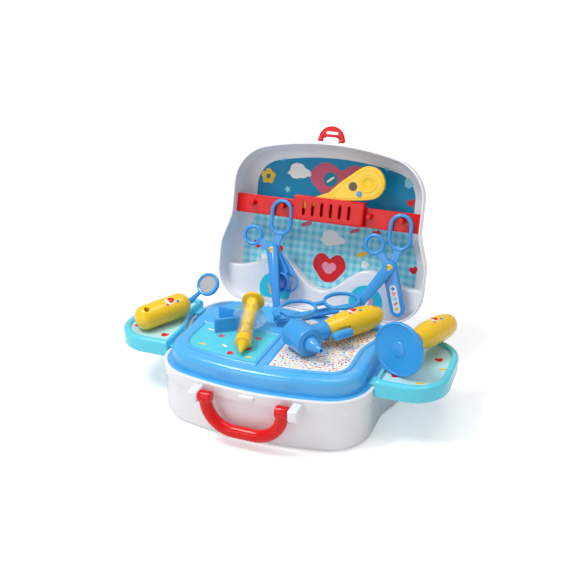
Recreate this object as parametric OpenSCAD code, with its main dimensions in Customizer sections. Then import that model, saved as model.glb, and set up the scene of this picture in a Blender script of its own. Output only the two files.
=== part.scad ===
// Toy doctor case, open for play: a base with a blue deck, a lid with a tool rack,
// two hook-on side trays and nine toy instruments laid out on them.
// Origin: centre of the base's underside. +X is the case's right, -Y its handle side.

/* [Case] */
// Width of the case across its rear half
case_w = 250; // [230:1:280]
// Width of the case across its front half
front_w = 228; // [210:1:240]
// Depth of the case from hinge to handle side
case_d = 194; // [185:1:215]
// Height of the base at its rim
base_h = 58; // [52:1:70]
// Depth of the lid
lid_h = 38; // [34:1:46]
// Wall of the base and the lid
wall = 2.6; // [2:0.1:3.2]
// Corner radius at the handle side
front_r = 48; // [40:1:52]
// Corner radius at the hinge side
rear_r = 37; // [30:1:42]
// Radius of the bowed handle side
bow_r = 330; // [280:5:500]
// Distance of the waist from the hinge
waist_s = 84; // [78:1:90]
// Length of the waist's curve
waist_len = 47; // [36:1:54]
// Opening angle of the lid at its stop
lid_open = 105.5; // [95:0.5:112]

/* [Base] */
// Height of the thicker band under the rim
band_h = 11; // [8:0.5:14]
// Step of the band out from the wall below
band_step = 1; // [0.6:0.1:1.6]
// Rounding of the bottom edge
foot_r = 6; // [3:0.5:8]
// Width of the rim
rim_w = 3.8; // [3.7:0.1:4.2]
// Width of the shelf that carries the deck
shelf_w = 3; // [2.5:0.1:4]
// Thickness of the shelf
shelf_t = 3; // [2:0.5:4]
// Width of the latch catch
catch_w = 16; // [12:1:20]
// Height of the latch catch
catch_h = 4; // [3:0.5:6]
// Reach of the latch catch
catch_out = 2.4; // [1.5:0.1:3]

/* [Hinge] */
// Radius of the hinge knuckles
knuckle_r = 2.7; // [2.4:0.1:2.8]
// Radius of the hinge pins
hinge_pin_r = 1.2; // [1:0.1:1.5]
// Distance of each hinge from the middle
hinge_x = 60; // [45:1:66]
// Length of one knuckle
knuckle_l = 11; // [8:0.5:14]

/* [Handle] */
// Half width of the handle at its centre line
handle_half = 40.5; // [36:0.5:46]
// Drop of the handle below its pivots
handle_drop = 33.5; // [30:0.5:36]
// Bend radius of the handle
handle_bend = 30; // [20:1:30]
// Radius of the handle's grip
handle_r = 6.5; // [5.5:0.1:7]
// Radius of the handle's pivot pins
handle_pin_r = 3; // [2.5:0.1:3.5]
// Height of the handle's pivots
handle_z = 50; // [48:0.5:50]
// Distance of the pivots in front of the case
handle_out = 8.6; // [8.2:0.1:11]
// Width of a handle lug
lug_w = 10; // [8:0.5:14]
// Half height of a handle lug
lug_r = 6; // [5:0.2:6.5]

/* [Deck] */
// Thickness of the deck's flange
flange_t = 2.6; // [2:0.1:3]
// Depth of the flange under the rim
deck_drop = 0.4; // [0.2:0.1:0.8]
// Height of the deck above the rim
deck_rise = 18; // [14:0.5:20]
// Distance of the raised deck from the rim's outside
deck_inset = 9.5; // [9:0.5:14]
// Rounding of the raised deck's top edge
deck_r = 7; // [4:0.5:9]
// Wall of the raised deck
deck_wall = 2.2; // [1.8:0.1:3]
// Distance of the raised deck from the hinge
deck_rear = 34; // [30:1:42]
// Rounding of the raised deck's rear corners
deck_corner = 32; // [24:1:36]
// Distance of the pad beads from the case's outside
bead_inset = 22.5; // [20:0.5:26]
// Width of a pad bead
bead_w = 5; // [4:0.5:6]
// Height of a pad bead
bead_h = 1.8; // [1.2:0.1:2.4]
// Middle of the gap between the pads
divider_x = 4; // [0:0.5:8]
// Gap between the two pads
divider_w = 5; // [3:0.5:7]
// Distance of the left pad's rear edge from the hinge
left_pad_s = 98; // [92:1:104]
// Distance of the right pad's rear edge from the hinge
right_pad_s = 53; // [50:1:62]
// Thickness of a printed sheet
print_t = 0.6; // [0.4:0.1:0.8]

/* [Lid] */
// Rounding between the lid's walls and its back
lid_r = 14; // [12:1:15]
// Depth of the lid's straight band at its rim
lid_band = 10; // [7:0.5:12]
// Step of the lid's wall inward behind the band
lid_draft = 1.4; // [0.8:0.1:1.6]
// Distance of the raised arches behind the rim
arch_t = 18; // [16:0.5:22]
// Height of the arches above the hinge
arch_top = 54; // [48:1:58]
// Height of the valley between the arches
arch_valley = 23; // [21:1:30]
// Distance of each arch from the middle
arch_x = 56; // [50:1:60]
// Height of the arches at the lid's sides
arch_side = 40; // [34:1:46]
// Distance of the backdrop from the lid's outside
backdrop_inset = 17.4; // [17.2:0.1:22]
// Radius of the two round prints
dome_r = 20; // [16:0.5:22]
// Height of the round prints' centres above the hinge
dome_s = 17; // [14:0.5:20]

/* [Rack] */
// Height of the rack bar
rack_h = 22; // [18:0.5:24]
// Distance of the rack bar's middle from the lid's far edge
rack_drop = 79; // [76:0.5:81]
// Depth of the bar's face behind the rim
rack_t = 10; // [9.8:0.1:12]
// Thickness of the bar
rack_bar_t = 3; // [2.4:0.1:4]
// Width of the pocket
pocket_w = 84; // [78:1:84]
// Middle of the pocket
pocket_x = 4.8; // [4:0.1:6]
// Height of the pocket
pocket_h = 28; // [26:0.5:30]
// Depth of the pocket's front behind the rim
pocket_t = 1; // [0.5:0.1:1.4]
// Wall of the pocket
pocket_wall = 2; // [1.6:0.1:2.2]
// Number of slots in the pocket
slot_n = 6; // [3:1:6]
// Spacing of the slots
slot_pitch = 10.8; // [9:0.1:11]
// Width of a slot
slot_w = 3.6; // [3:0.1:4.2]
// Height of a slot
slot_h = 16; // [12:0.5:18]
// Distance of the inner pegs from the middle
peg_in = 52.4; // [52:0.1:54]
// Distance of the outer pegs from the middle
peg_out = 90; // [86:0.5:92]
// Height of the pegs above the bar's middle
peg_up = 2; // [0:0.5:4]
// Radius of a peg
peg_r = 3; // [2.5:0.1:3.5]
// Length of a peg
peg_l = 7.5; // [6:0.5:9]

/* [Latch] */
// Radius of the latch flap
flap_r = 15.6; // [13:0.1:17]
// Thickness of the latch flap
flap_t = 3.5; // [3:0.1:4.2]
// Half width of the latch bracket
bracket_half = 9.6; // [8:0.1:10.5]
// Distance of the latch pivot outside the lid
latch_out = 3.4; // [3.2:0.1:4]
// Depth of the latch pivot behind the rim
latch_t = 4; // [3:0.1:5]
// Radius of the latch pin
latch_pin_r = 1.2; // [1:0.1:1.4]
// Radius of the latch legs around the pin
latch_leg_r = 2.6; // [2.4:0.1:2.8]
// Width of the latch's slot
latch_slot_w = 15; // [12:0.5:18]
// Height of the latch's slot
latch_slot_h = 2.6; // [2:0.1:3.2]

/* [Trays] */
// Reach of a tray from the case's middle
tray_reach = 182; // [174:1:190]
// Distance of a tray's front end from the hinge
tray_front_s = 144; // [140:1:144]
// Distance of a tray's rear end from the hinge
tray_rear_s = 31; // [28:1:36]
// Corner radius of a tray
tray_r = 38; // [30:1:42]
// Height of a tray
tray_h = 17; // [14:0.5:19]
// Height of a tray's rim above the case's rim
tray_up = 9; // [8:0.5:10]
// Width of a tray's lip
lip_w = 7; // [6:0.5:9]
// Width of a tray's lip at the case
inner_lip = 3.3; // [3:0.1:5]
// Depth of a tray's recess
tray_recess = 4; // [3:0.5:5]
// Wall of a tray
tray_wall = 2.2; // [1.8:0.1:3]
// Rounding of a tray's lip
lip_r = 3; // [2:0.5:3]
// Width of a tray hook
hook_w = 16; // [12:1:20]
// Thickness of a tray hook
hook_t = 2.2; // [1.8:0.1:2.6]
// Distance of the front hook from the hinge
hook_front_s = 130; // [126:1:134]
// Distance of the rear hook from the hinge
hook_rear_s = 48; // [46:1:50]

/* [Grips] */
// Length of the mirror's grip
mirror_grip_l = 65; // [60:1:70]
// Radius of the mirror's grip
mirror_grip_r = 13.8; // [12:0.1:14]
// Length of the percussor's and otoscope's grips
grip_l = 74; // [68:1:78]
// Radius of the percussor's and otoscope's grips
grip_r = 14; // [12.5:0.1:14.6]
// Radius of these grips at the neck
grip_neck_r = 9.5; // [8.5:0.1:10.5]
// Radius of the hanging hole
hang_r = 3.2; // [2.5:0.1:3.8]
// Distance of the hanging hole from the butt
hang_in = 11; // [9:0.5:13]

/* [Dental mirror] */
// Butt end of the mirror's grip
mirror_at = [-159, -30];
// Heading of the mirror
mirror_yaw = 59; // [57:1:63]
// Upward tilt of the mirror
mirror_pitch = 3; // [1:0.5:5]
// Turn of the mirror about its grip
mirror_roll = 25; // [0:5:50]
// Bend of the mirror's neck
mirror_bend = 42; // [30:1:46]
// Length of the mirror's neck
mirror_neck_l = 28; // [24:1:31]
// Outer radius of the mirror's ring
mirror_ring_r = 13.4; // [12:0.1:14]
// Thickness of the mirror's ring
mirror_ring_t = 5; // [4:0.1:6]
// Radius of the mirror plate
mirror_glass_r = 10.2; // [9:0.1:10.6]

/* [Percussor] */
// Centre of the percussor's disc
disc_at = [129.9, -21.5];
// Heading of the percussor's grip
disc_yaw = 71; // [69:1:74]
// Downward tilt of the percussor's grip
disc_pitch = 5; // [3:0.5:7]
// Radius of the disc
disc_r = 28; // [26:0.1:28.2]
// Thickness of the disc
disc_t = 5; // [4:0.1:6]
// Length of the percussor's neck
disc_neck_l = 28; // [24:1:30]

/* [Syringe] */
// Tip of the syringe
syringe_at = [-20.7, -63];
// Heading of the syringe
syringe_yaw = 103; // [100:1:105]
// Upward tilt of the syringe
syringe_pitch = 16.5; // [15:0.5:18]
// Length of the nozzle's cone
nozzle_l = 13; // [10:0.5:16]
// Length of the nozzle's collar
collar_l = 9; // [7:0.5:11]
// Radius of the nozzle's collar
collar_r = 8.6; // [8.6:0.1:9]
// Outer radius of the barrel
barrel_r = 9; // [8.6:0.1:9.6]
// Inner radius of the barrel
barrel_bore_r = 7.7; // [7:0.1:8]
// Distance of the finger flange from the tip
finger_s = 54; // [50:0.5:58]
// Radius of the finger flange
finger_r = 17.5; // [15:0.5:18]
// Thickness of the finger flange
finger_t = 2; // [1.6:0.1:2.6]
// Radius of the plunger's front rod
rod_r = 4.6; // [4:0.1:5.4]
// Radius of the plunger's wide rear rod
rod_wide_r = 6.6; // [6:0.1:6.8]
// Length of the plunger's wide rear rod
rod_wide_l = 42; // [38:0.5:46]
// Length of the plunger's piston
piston_l = 6; // [4:0.5:8]
// Length of the plunger
plunger_l = 56; // [52:0.5:60]
// Radius of the thumb disc
thumb_r = 12.3; // [11:0.1:13]
// Thickness of the thumb disc
thumb_t = 3; // [2.4:0.1:4]

/* [Forceps] */
// Middle of the forceps' spring ring
forceps_at = [-41, 2];
// Heading of the forceps' open end
forceps_yaw = 197; // [192:1:202]
// Half angle between the arms
forceps_open = 21; // [16:1:24]
// Length of an arm
forceps_l = 36; // [30:1:38]
// Height of the forceps as they stand
forceps_h = 14.1; // [12:0.1:14.1]
// Outer radius of the spring ring
forceps_r = 6; // [5:0.2:6.4]
// Thickness of the forceps
forceps_t = 3; // [2.4:0.1:3.6]

/* [Glasses] */
// Middle of the glasses' bridge
glasses_at = [23, 54];
// Heading of the glasses
glasses_yaw = 43; // [40:1:46]
// Tilt of the frame to the front
glasses_tilt = 4; // [2:0.5:5]
// Distance between the lens centres
lens_pitch = 52; // [50:0.5:56]
// Half width of a lens rim
lens_rx = 21.5; // [20:0.5:22.5]
// Half height of a lens rim
lens_ry = 18.5; // [16:0.5:20]
// Width of a lens rim
lens_rim = 3.6; // [3:0.1:4.5]
// Thickness of the frame
frame_t = 4; // [3.4:0.1:4.6]
// Length of a temple
temple_l = 74; // [66:1:78]
// Height of a temple
temple_h = 6; // [5:0.5:6.5]
// Thickness of a temple
temple_t = 3; // [2.6:0.1:3.2]
// Distance of the temples' hinges behind the frame's middle
hinge_drop = 10; // [8:0.5:11]
// Radius of a temple's hinge pin
temple_pin_r = 0.9; // [0.8:0.05:1]

/* [Otoscope] */
// Middle of the otoscope's head
otoscope_at = [33, -30];
// Heading of the otoscope's grip
otoscope_yaw = 54; // [51:1:57]
// Radius of the head
head_r = 15.4; // [14:0.1:16.5]
// Length of the head
head_l = 32; // [28:1:36]
// Length of the neck to the grip
oto_neck_l = 29; // [27:0.5:32]
// Radius of the speculum's foot
speculum_foot_r = 8; // [6.5:0.1:9]
// Length of the speculum
speculum_l = 18; // [15:0.5:21]
// Radius of the speculum's tip
speculum_tip_r = 2.8; // [2.4:0.1:3.4]
// Radius of the speculum's bore
speculum_bore_r = 1.5; // [1.2:0.1:1.8]
// Length of the trigger
trigger_l = 25; // [20:1:25]
// Half thickness of the trigger
trigger_r = 4.8; // [3.8:0.1:4.8]
// Distance of the trigger from the grip's middle
trigger_out = 17; // [16.8:0.1:18]
// Travel of the trigger
trigger_travel = 1.2; // [0.8:0.1:1.2]
// Radius of the trigger's stem
trigger_stem_r = 2.4; // [2:0.1:2.8]

/* [Hung tools] */
// Tube radius of the finger loops
loop_r = 2.3; // [2:0.1:2.4]
// Outer half width of a long loop
long_loop_w = 14; // [12.5:0.1:14.5]
// Outer half height of a long loop
long_loop_h = 21.5; // [19:0.5:22.5]
// Outer radius of a round loop
round_loop_r = 12.6; // [11.5:0.1:13.4]
// Width of an arm
arm_w = 9; // [7:0.5:10]
// Thickness of an arm
arm_t = 3.6; // [3:0.1:3.8]
// Radius of the boss around a pivot
boss_r = 7.4; // [6.5:0.1:8]
// Radius of a pivot cap
cap_r = 4.6; // [4:0.1:5.2]
// Radius of a pivot's shank
shank_r = 2.4; // [2:0.1:2.8]
// Pivot of the ear clamp on the lid
clamp_pivot = [-58, 64];
// Round loop of the ear clamp
clamp_loop = [-84, 79];
// Front cup of the ear clamp
clamp_cup = [-43, 29];
// Outer radius of a cup
cup_r = 12; // [11:0.1:12.6]
// Wall of a cup
cup_wall = 2; // [1.6:0.1:2.6]
// Depth of the front cup
cup_l = 12; // [9:0.5:13]
// Shift of the rear cup from the front one
cup_shift = 7; // [6:0.5:8]
// Pivot of the scissors on the lid
scissors_pivot = [83, 63];
// Round loop of the scissors
scissors_loop = [63, 87];
// Distance of the blades' round end from the case's side
scissors_side = 27.5; // [25:0.5:32]
// Height of the blades' round end above the hinge
scissors_low = 17.5; // [14:0.5:20]
// Width of a blade
blade_w = 16; // [14:0.5:17]
// Width of the blade's window
strip_w = 8.4; // [7:0.1:9]
// Length of the blade's window
strip_l = 33; // [26:1:34]

/* [Thermometer] */
// Distance of the thermometer's head to the right of the middle
thermo_x = 48; // [44:1:52]
// Distance of the thermometer's head from the lid's far edge
thermo_drop = 40; // [38:1:42]
// Heading of the thermometer on the lid
thermo_yaw = 24; // [21:1:26]
// Radius of the head
thermo_r = 19; // [17:0.5:20]
// Thickness of the head
thermo_t = 6.4; // [5.6:0.1:6.4]
// Length from the head's centre to the stem's tip
thermo_l = 84; // [80:1:84]
// Width of the stem
stem_w = 9; // [7:0.5:10]
// Thickness of the stem
stem_t = 4.4; // [3.6:0.1:5]
// Travel of the thermometer's button
button_travel = 1; // [0.8:0.1:1.2]

/* [Clearances] */
// Radial clearance of a pin in its bore
fit_gap = 0.08; // [0.05:0.01:0.1]
// Gap between a piece and its seat
seat_gap = 0.3; // [0.2:0.05:0.4]
// Gap between moving pieces
part_gap = 0.4; // [0.3:0.05:0.6]

/* [Hidden] */
$fn = 48;
eps = 0.01;
far = 400;
half_w = case_w / 2;
half_d = case_d / 2;
front_half = front_w / 2;
shelf_z = base_h - deck_drop - flange_t;
deck_z = base_h + deck_rise;
flange_z = base_h - deck_drop;
pad_z = deck_z + print_t;
knuckle_cut = knuckle_r + part_gap;
lap = 0.2;
hook_reach = rim_w + hook_t + 0.7;
tray_top = base_h + tray_up;
tray_low = tray_top - tray_h;
tray_floor = tray_top - tray_recess;
tray_bed = tray_floor + print_t;
handle_y = -half_d - handle_out;
lug_x = handle_half + handle_r + part_gap + 0.6;
lid_floor = lid_h - wall;
lid_gap = 0.3;
latch_s = case_d + latch_out;
rack_s = case_d - rack_drop;
thermo_at = [thermo_x, case_d - thermo_drop];
scissors_end = [half_w - scissors_side, scissors_low];
arm_rear_t = rack_t - part_gap - loop_r;
arm_front_t = arm_rear_t - 2 * loop_r + 0.2;
hang_s = rack_s + peg_up + peg_r + seat_gap;
bar_half = front_half - wall - lid_draft + 1;
thermo_mid = (pocket_t + pocket_wall + rack_t) / 2;
trigger_s = oto_neck_l + 9.5;
stem_s = trigger_s + 4;
disc_neck_r = 8;
speculum_in = 3;
mirror_neck_r = 3.4;
mirror_cuff = 4;
mirror_nose = 0.8 * mirror_grip_r;
neck_flange_r = grip_neck_r + 1;

temple_z = -hinge_drop;
temple_shift = temple_h / 2 + part_gap;
ear_t = 2;
hinge_half = lens_pitch / 2 + lens_rx + 5;
temple_low = hinge_drop + temple_t / 2 + (temple_h + part_gap) * sin(glasses_tilt);
glasses_z = deck_z + bead_h + seat_gap + temple_low;
window_at = [1 - thermo_r, 2];
button_at = [-thermo_r * 0.72, -thermo_r * 0.42];

// ---- shared shapes ----

// Points of an arc with n steps
function arc(c, r, a0, a1, n) =
  [for (i = [0:n]) c + r * [cos(a0 + (a1 - a0) * i / n), sin(a0 + (a1 - a0) * i / n)]];

// Right half of the case's outline, g inside it: x across, y from the hinge
function half_outline(g) =
  let (
    wl = half_w - g, wu = front_half - g,
    rr = max(rear_r - g, 1), rf = max(front_r - g, 1), rb = bow_r - g,
    cy = case_d - g - rb, cx = wu - rf,
    yc = cy + sqrt((rb - rf) ^ 2 - cx ^ 2),
    turn = atan2(yc - cy, cx)
  )
  concat(
    arc([wl - rr, g + rr], rr, -90, 0, 7),
    [for (i = [0:8]) let (u = i / 8)
      [wl + (wu - wl) * u * u * (3 - 2 * u), waist_s + waist_len * (u - 0.5)]],
    arc([cx, yc], rf, 0, turn, 8),
    [for (i = [1:6]) let (a = turn + (90 - turn) * i / 6) [0, cy] + rb * [cos(a), sin(a)]]
  );

function case_outline(g) =
  let (h = half_outline(g))
  concat(h, [for (i = [len(h) - 2:-1:0]) [-h[i][0], h[i][1]]]);

// Height of the arches above the hinge at x
function arch(x) =
  let (a = abs(x))
  a < arch_x ? (arch_top + arch_valley) / 2 - (arch_top - arch_valley) / 2 * cos(180 * a / arch_x)
  : (arch_top + arch_side) / 2
    + (arch_top - arch_side) / 2 * cos(180 * min((a - arch_x) / (half_w - backdrop_inset - arch_x), 1));

// Case outline drawn from the hinge, as a plate from z0 to z1
module slab(g, z0, z1) {
  translate([0, 0, z0]) linear_extrude(z1 - z0) polygon(case_outline(g));
}

// Plate of height h whose far edge is rounded by r
module rounded_slab(g, h, r, n = 4) {
  slab(g, 0, h - r);
  for (k = [0:n - 1])
    slab(g + r * (1 - cos(90 * (k + 0.5) / n)), h - r + r * sin(90 * k / n) - lap,
      h - r + r * sin(90 * (k + 1) / n));
}

// Lid's solid to depth h: a straight band, two steps inward and a rounded back
module lid_stack(g, band, h) {
  step = (h - lid_r - band) / 2;
  slab(g, 0, band);
  slab(g + lid_draft, band - lap, band + step);
  translate([0, 0, band + step - lap]) rounded_slab(g + 2 * lid_draft, h - band - step + lap, lid_r, 5);
}

// From hinge-side coordinates to the standing base
module on_base() translate([0, half_d, 0]) mirror([0, 1, 0]) children();

// From lid coordinates (x, up from the hinge, out of the lid) to the open lid
module on_lid() translate([0, half_d, base_h]) rotate([180 - lid_open, 0, 0]) children();

// Cylinder along X, centred on its middle
module x_rod(r, l) rotate([0, 90, 0]) cylinder(r = r, h = l, center = true);

// Rectangle with rounded corners, from a to b
module round_rect(a, b, r) {
  translate([a[0] + r, a[1]]) square([b[0] - a[0] - 2 * r, b[1] - a[1]]);
  translate([a[0], a[1] + r]) square([b[0] - a[0], b[1] - a[1] - 2 * r]);
  for (x = [a[0] + r, b[0] - r], y = [a[1] + r, b[1] - r]) translate([x, y]) circle(r);
}

// Flat bar with round ends from p to q
module link(p, q, w) {
  d = q - p;
  translate(p) rotate(atan2(d[1], d[0])) translate([0, eps - w / 2]) square([norm(d), w - 2 * eps]);
  translate(p) circle(w / 2);
  translate(q) circle(w / 2);
}

// Plate of thickness t lifted to z
module plate(z, t) translate([0, 0, z]) linear_extrude(t) children();

// Ring of round section, lying flat
module ring(r, tube) rotate_extrude() translate([r - tube, 0]) circle(tube, $fn = 24);

// Long loop of round section, upright in the lid's plane
module long_loop(w, h, tube) {
  run = h - w;
  for (m = [0, 1]) mirror([0, m, 0]) translate([0, run, 0])
    rotate_extrude(angle = 180) translate([w - tube, 0]) circle(tube, $fn = 24);
  for (m = [-1, 1]) translate([m * (w - tube), 0, 0]) rotate([90, 0, 0])
    cylinder(r = tube, h = 2 * run + eps, center = true, $fn = 24);
}

// Bar with round ends along X
module capsule(l, r) rotate([0, 90, 0]) rotate_extrude() polygon(concat(
  arc([0, r], r, -90, 0, 8), arc([0, l - r], r, 0, 90, 8)));

// Half of a solid above or below its parting plane
module upper() intersection() { children(); translate([-far, -far, 0]) cube([2 * far, 2 * far, far]); }
module lower() intersection() { children(); translate([-far, -far, -far]) cube([2 * far, 2 * far, far]); }

// Grip of round section along X, from its neck at 0 to its butt at l
module grip(l, neck, r) {
  bulge = 0.38;
  difference() {
    rotate([0, 90, 0]) rotate_extrude() polygon(concat([[0, 0]],
      [for (i = [0:20]) let (u = i / 20)
        [u < bulge ? neck + (r - neck) * sin(90 * u / bulge)
          : r * sqrt(max(1 - ((u - bulge) / (1 - bulge)) ^ 4, 0)), l * u]]));
    translate([l - hang_in, 0, -far / 2]) cylinder(r = hang_r, h = far);
  }
}

// Grip with a round butt at 0 and a flat neck face of radius neck at l, its ends nose long
module round_grip(l, neck, r, nose) {
  turn = acos(neck / r);
  difference() {
    rotate([0, 90, 0]) rotate_extrude() polygon(concat(
      [for (i = [0:8]) [r * sin(90 * i / 8), nose * (1 - cos(90 * i / 8))]],
      [for (i = [0:6]) [r * cos(turn * i / 6), l - nose + nose * sin(turn * i / 6) / sin(turn)]], [[0, l]]));
    translate([hang_in, 0, -far / 2]) cylinder(r = hang_r, h = far);
  }
}

// ---- base ----

module hinge_stations(offset_x) for (side = [-1, 1], k = [-1, 1])
  translate([side * hinge_x + k * offset_x, 0, 0]) children();

module base_knuckles(r, l) translate([0, half_d, base_h])
  hinge_stations(knuckle_l + part_gap) x_rod(r, l);

module lid_knuckles(r, l) for (side = [-1, 1]) translate([side * hinge_x, 0, 0]) x_rod(r, l);

module handle_lugs() for (side = [-1, 1]) {
  translate([side * lug_x + (side < 0 ? -lug_w : 0), handle_y, handle_z - lug_r])
    cube([lug_w, half_d / 2, 2 * lug_r]);
  translate([side * (lug_x + lug_w / 2), handle_y, handle_z]) x_rod(lug_r, lug_w);
}

module base_shell() color("white") difference() {
  union() {
    on_base() {
      translate([0, 0, base_h]) mirror([0, 0, 1]) rounded_slab(band_step, base_h, foot_r);
      slab(0, base_h - band_h, base_h);
    }
    base_knuckles(knuckle_r, knuckle_l);
    handle_lugs();
    translate([-catch_w / 2, -half_d - catch_out, base_h - band_h / 2 - catch_h / 2])
      cube([catch_w, half_d / 2, catch_h]);
  }
  on_base() {
    slab(band_step + wall, foot_r, shelf_z - shelf_t);
    slab(band_step + wall + foot_r / 2, wall, foot_r + eps);
    slab(rim_w + shelf_w, shelf_z - shelf_t - eps, shelf_z + eps);
    slab(rim_w, shelf_z, base_h + knuckle_r + eps);
  }
  translate([0, half_d, base_h]) {
    lid_knuckles(knuckle_cut, knuckle_l + 2 * part_gap);
    hinge_stations(0) x_rod(hinge_pin_r + fit_gap, 3 * knuckle_l + 2 * part_gap + eps);
  }
  translate([0, handle_y, handle_z]) x_rod(handle_pin_r + fit_gap, 2 * (lug_x + lug_w) + 2);
}

module hinge_pins() color("silver") translate([0, half_d, base_h])
  lid_knuckles(hinge_pin_r, 3 * knuckle_l + 2 * part_gap);

module handle() color("red") translate([0, handle_y, handle_z]) {
  flat = handle_half - handle_bend;
  stem = handle_drop - handle_bend;
  for (m = [0, 1]) mirror([m, 0, 0]) {
    translate([handle_half, 0, -stem]) cylinder(r = handle_r, h = stem);
    translate([flat, 0, -stem]) rotate([90, 0, 0]) rotate([0, 0, -90])
      rotate_extrude(angle = 90) translate([handle_bend, 0]) circle(handle_r);
    translate([handle_half, 0, 0]) x_rod(handle_r, 2 * handle_r);
    translate([handle_half + (lug_w + handle_r) / 2 + 1, 0, 0]) x_rod(handle_pin_r, lug_w + handle_r);
  }
  translate([0, 0, -handle_drop]) x_rod(handle_r, 2 * flat + eps);
}

// ---- deck ----

// Raised deck's outline, k further in
module deck_area(k) difference() {
  polygon(case_outline(deck_inset + k));
  difference() {
    translate([-half_w, -1]) square([case_w, case_d / 2]);
    round_rect([k + deck_inset - front_half, deck_rear + k], [front_half - deck_inset - k, case_d],
      deck_corner - k);
  }
}

module deck_stack(k, z0, z1, r, n = 3) {
  plate(z0, z1 - r - z0) deck_area(k);
  for (i = [0:n - 1])
    plate(z1 - r + r * sin(90 * i / n) - lap, r * (sin(90 * (i + 1) / n) - sin(90 * i / n)) + lap)
      deck_area(k + r * (1 - cos(90 * (i + 0.5) / n)));
}

// Pads inside the beads: side -1 left, 1 right, k further in
module pad_area(side, k) intersection() {
  polygon(case_outline(bead_inset + k));
  if (side < 0)
    round_rect([-far, left_pad_s + k], [divider_x - divider_w / 2 - k, far], bead_w + 1 - k);
  else
    round_rect([divider_x + divider_w / 2 + k, right_pad_s + k], [far, far], bead_w + 1 - k);
}

module hook_boxes(grow, z0, z1, reach0, reach1) for (side = [-1, 1], s = [hook_front_s, hook_rear_s]) {
  edge = s > waist_s ? front_half : half_w;
  x0 = side > 0 ? edge - reach1 : -edge + reach0;
  translate([x0, s - hook_w / 2 - grow, z0]) cube([reach1 - reach0, hook_w + 2 * grow, z1 - z0]);
}

module deck_insert() color("dodgerblue") on_base() difference() {
  union() {
    slab(rim_w + seat_gap, shelf_z, flange_z);
    deck_stack(0, shelf_z, deck_z, deck_r);
  }
  deck_stack(deck_wall, shelf_z - eps, deck_z - deck_wall, deck_r - 1);
  hook_boxes(part_gap, shelf_z - eps, flange_z + eps, rim_w, hook_reach + part_gap);
}

// Soft bead round a pad, in two steps
module pad_bead(side) on_base() {
  plate(deck_z, bead_h * 0.6) difference() {
    pad_area(side, 0);
    pad_area(side, bead_w);
  }
  plate(deck_z, bead_h) difference() {
    pad_area(side, bead_w * 0.2);
    pad_area(side, bead_w * 0.8);
  }
}
module left_pad_bead() color("dodgerblue") pad_bead(-1);
module right_pad_bead() color("dodgerblue") pad_bead(1);

module left_pad_print() color("turquoise") on_base() plate(deck_z, print_t) pad_area(-1, bead_w);
module right_pad_print() color("snow") on_base() plate(deck_z, print_t) pad_area(1, bead_w);

// ---- lid ----

module arch_area(lift, x0, x1, s0) polygon(concat([[x1, s0], [x0, s0]],
  [for (i = [0:40]) let (x = x0 + (x1 - x0) * i / 40) [x, arch(x) + lift]]));

module lid_shell() color("white") on_lid() difference() {
  union() {
    translate([0, 0, -lid_gap]) mirror([0, 0, 1]) lid_stack(lid_gap, lid_band, lid_h - lid_gap);
    lid_knuckles(knuckle_r, knuckle_l);
    translate([-bracket_half, case_d - wall, -latch_t - latch_leg_r])
      cube([2 * bracket_half, wall + latch_out, 2 * latch_leg_r]);
    translate([0, latch_s, -latch_t]) x_rod(latch_leg_r, 2 * bracket_half);
  }
  difference() {
    translate([0, 0, lap]) mirror([0, 0, 1]) lid_stack(wall, lid_band - 1, lid_floor + lap);
    plate(-lid_h, lid_h - arch_t) arch_area(0, -half_w, half_w, -1);
  }
  for (m = [0, 1]) mirror([m, 0, 0])
    plate(-lid_h - lap, lid_h - arch_t - wall + lap)
      arch_area(-wall, lid_r, half_w - lid_r - 2 * lid_draft - wall, lid_r + 2 * lid_draft + wall);
  translate([-bar_half, rack_s - rack_h / 2 - fit_gap, -rack_t - rack_bar_t - fit_gap])
    cube([2 * bar_half, rack_h + 2 * fit_gap, rack_bar_t + 2 * fit_gap]);
  hinge_stations(knuckle_l + part_gap) x_rod(knuckle_cut, knuckle_l + 2 * part_gap);
  lid_knuckles(hinge_pin_r + fit_gap, knuckle_l + eps);
  translate([0, latch_s, -latch_t]) x_rod(latch_pin_r + fit_gap, 2 * bracket_half + eps);
}

module lid_backdrop() color("darkcyan") on_lid() plate(-lid_floor + eps, print_t) difference() {
  polygon(case_outline(backdrop_inset));
  arch_area(part_gap, -half_w, half_w, -1);
}

module dome_print(side) on_lid() plate(-arch_t, print_t) intersection() {
  translate([side * arch_x, dome_s]) circle(dome_r);
  translate([side * arch_x - dome_r, wall + 2 * lid_draft + part_gap]) square(2 * dome_r);
}
module left_dome_print() color("turquoise") dome_print(-1);
module right_dome_print() color("turquoise") dome_print(1);

// ---- rack ----

module tool_rack() color("red") on_lid() {
  bar_end = bar_half - fit_gap;
  depth = rack_t - pocket_t;
  low = rack_s - pocket_h / 2 + 3;
  difference() {
    union() {
      translate([-bar_end, rack_s - rack_h / 2, -rack_t - rack_bar_t])
        cube([2 * bar_end, rack_h, rack_bar_t]);
      translate([pocket_x - pocket_w / 2, low, -rack_t - rack_bar_t])
        cube([pocket_w, pocket_h, depth + rack_bar_t]);
    }
    translate([pocket_x - pocket_w / 2 + pocket_wall, low + pocket_wall, -rack_t])
      cube([pocket_w - 2 * pocket_wall, pocket_h, depth - pocket_wall]);
    for (i = [0:slot_n - 1])
      plate(-pocket_t - pocket_wall - 1, pocket_wall + 2)
        translate([pocket_x - 2 + (i - (slot_n - 1) / 2) * slot_pitch, rack_s + 3])
          link([0, (slot_w - slot_h) / 2], [0, (slot_h - slot_w) / 2], slot_w);
  }
  for (x = [-peg_out, -peg_in, peg_in, peg_out])
    translate([x, rack_s + peg_up, -rack_t - lap]) cylinder(r = peg_r, h = peg_l + lap);
}

// ---- latch ----

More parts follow.
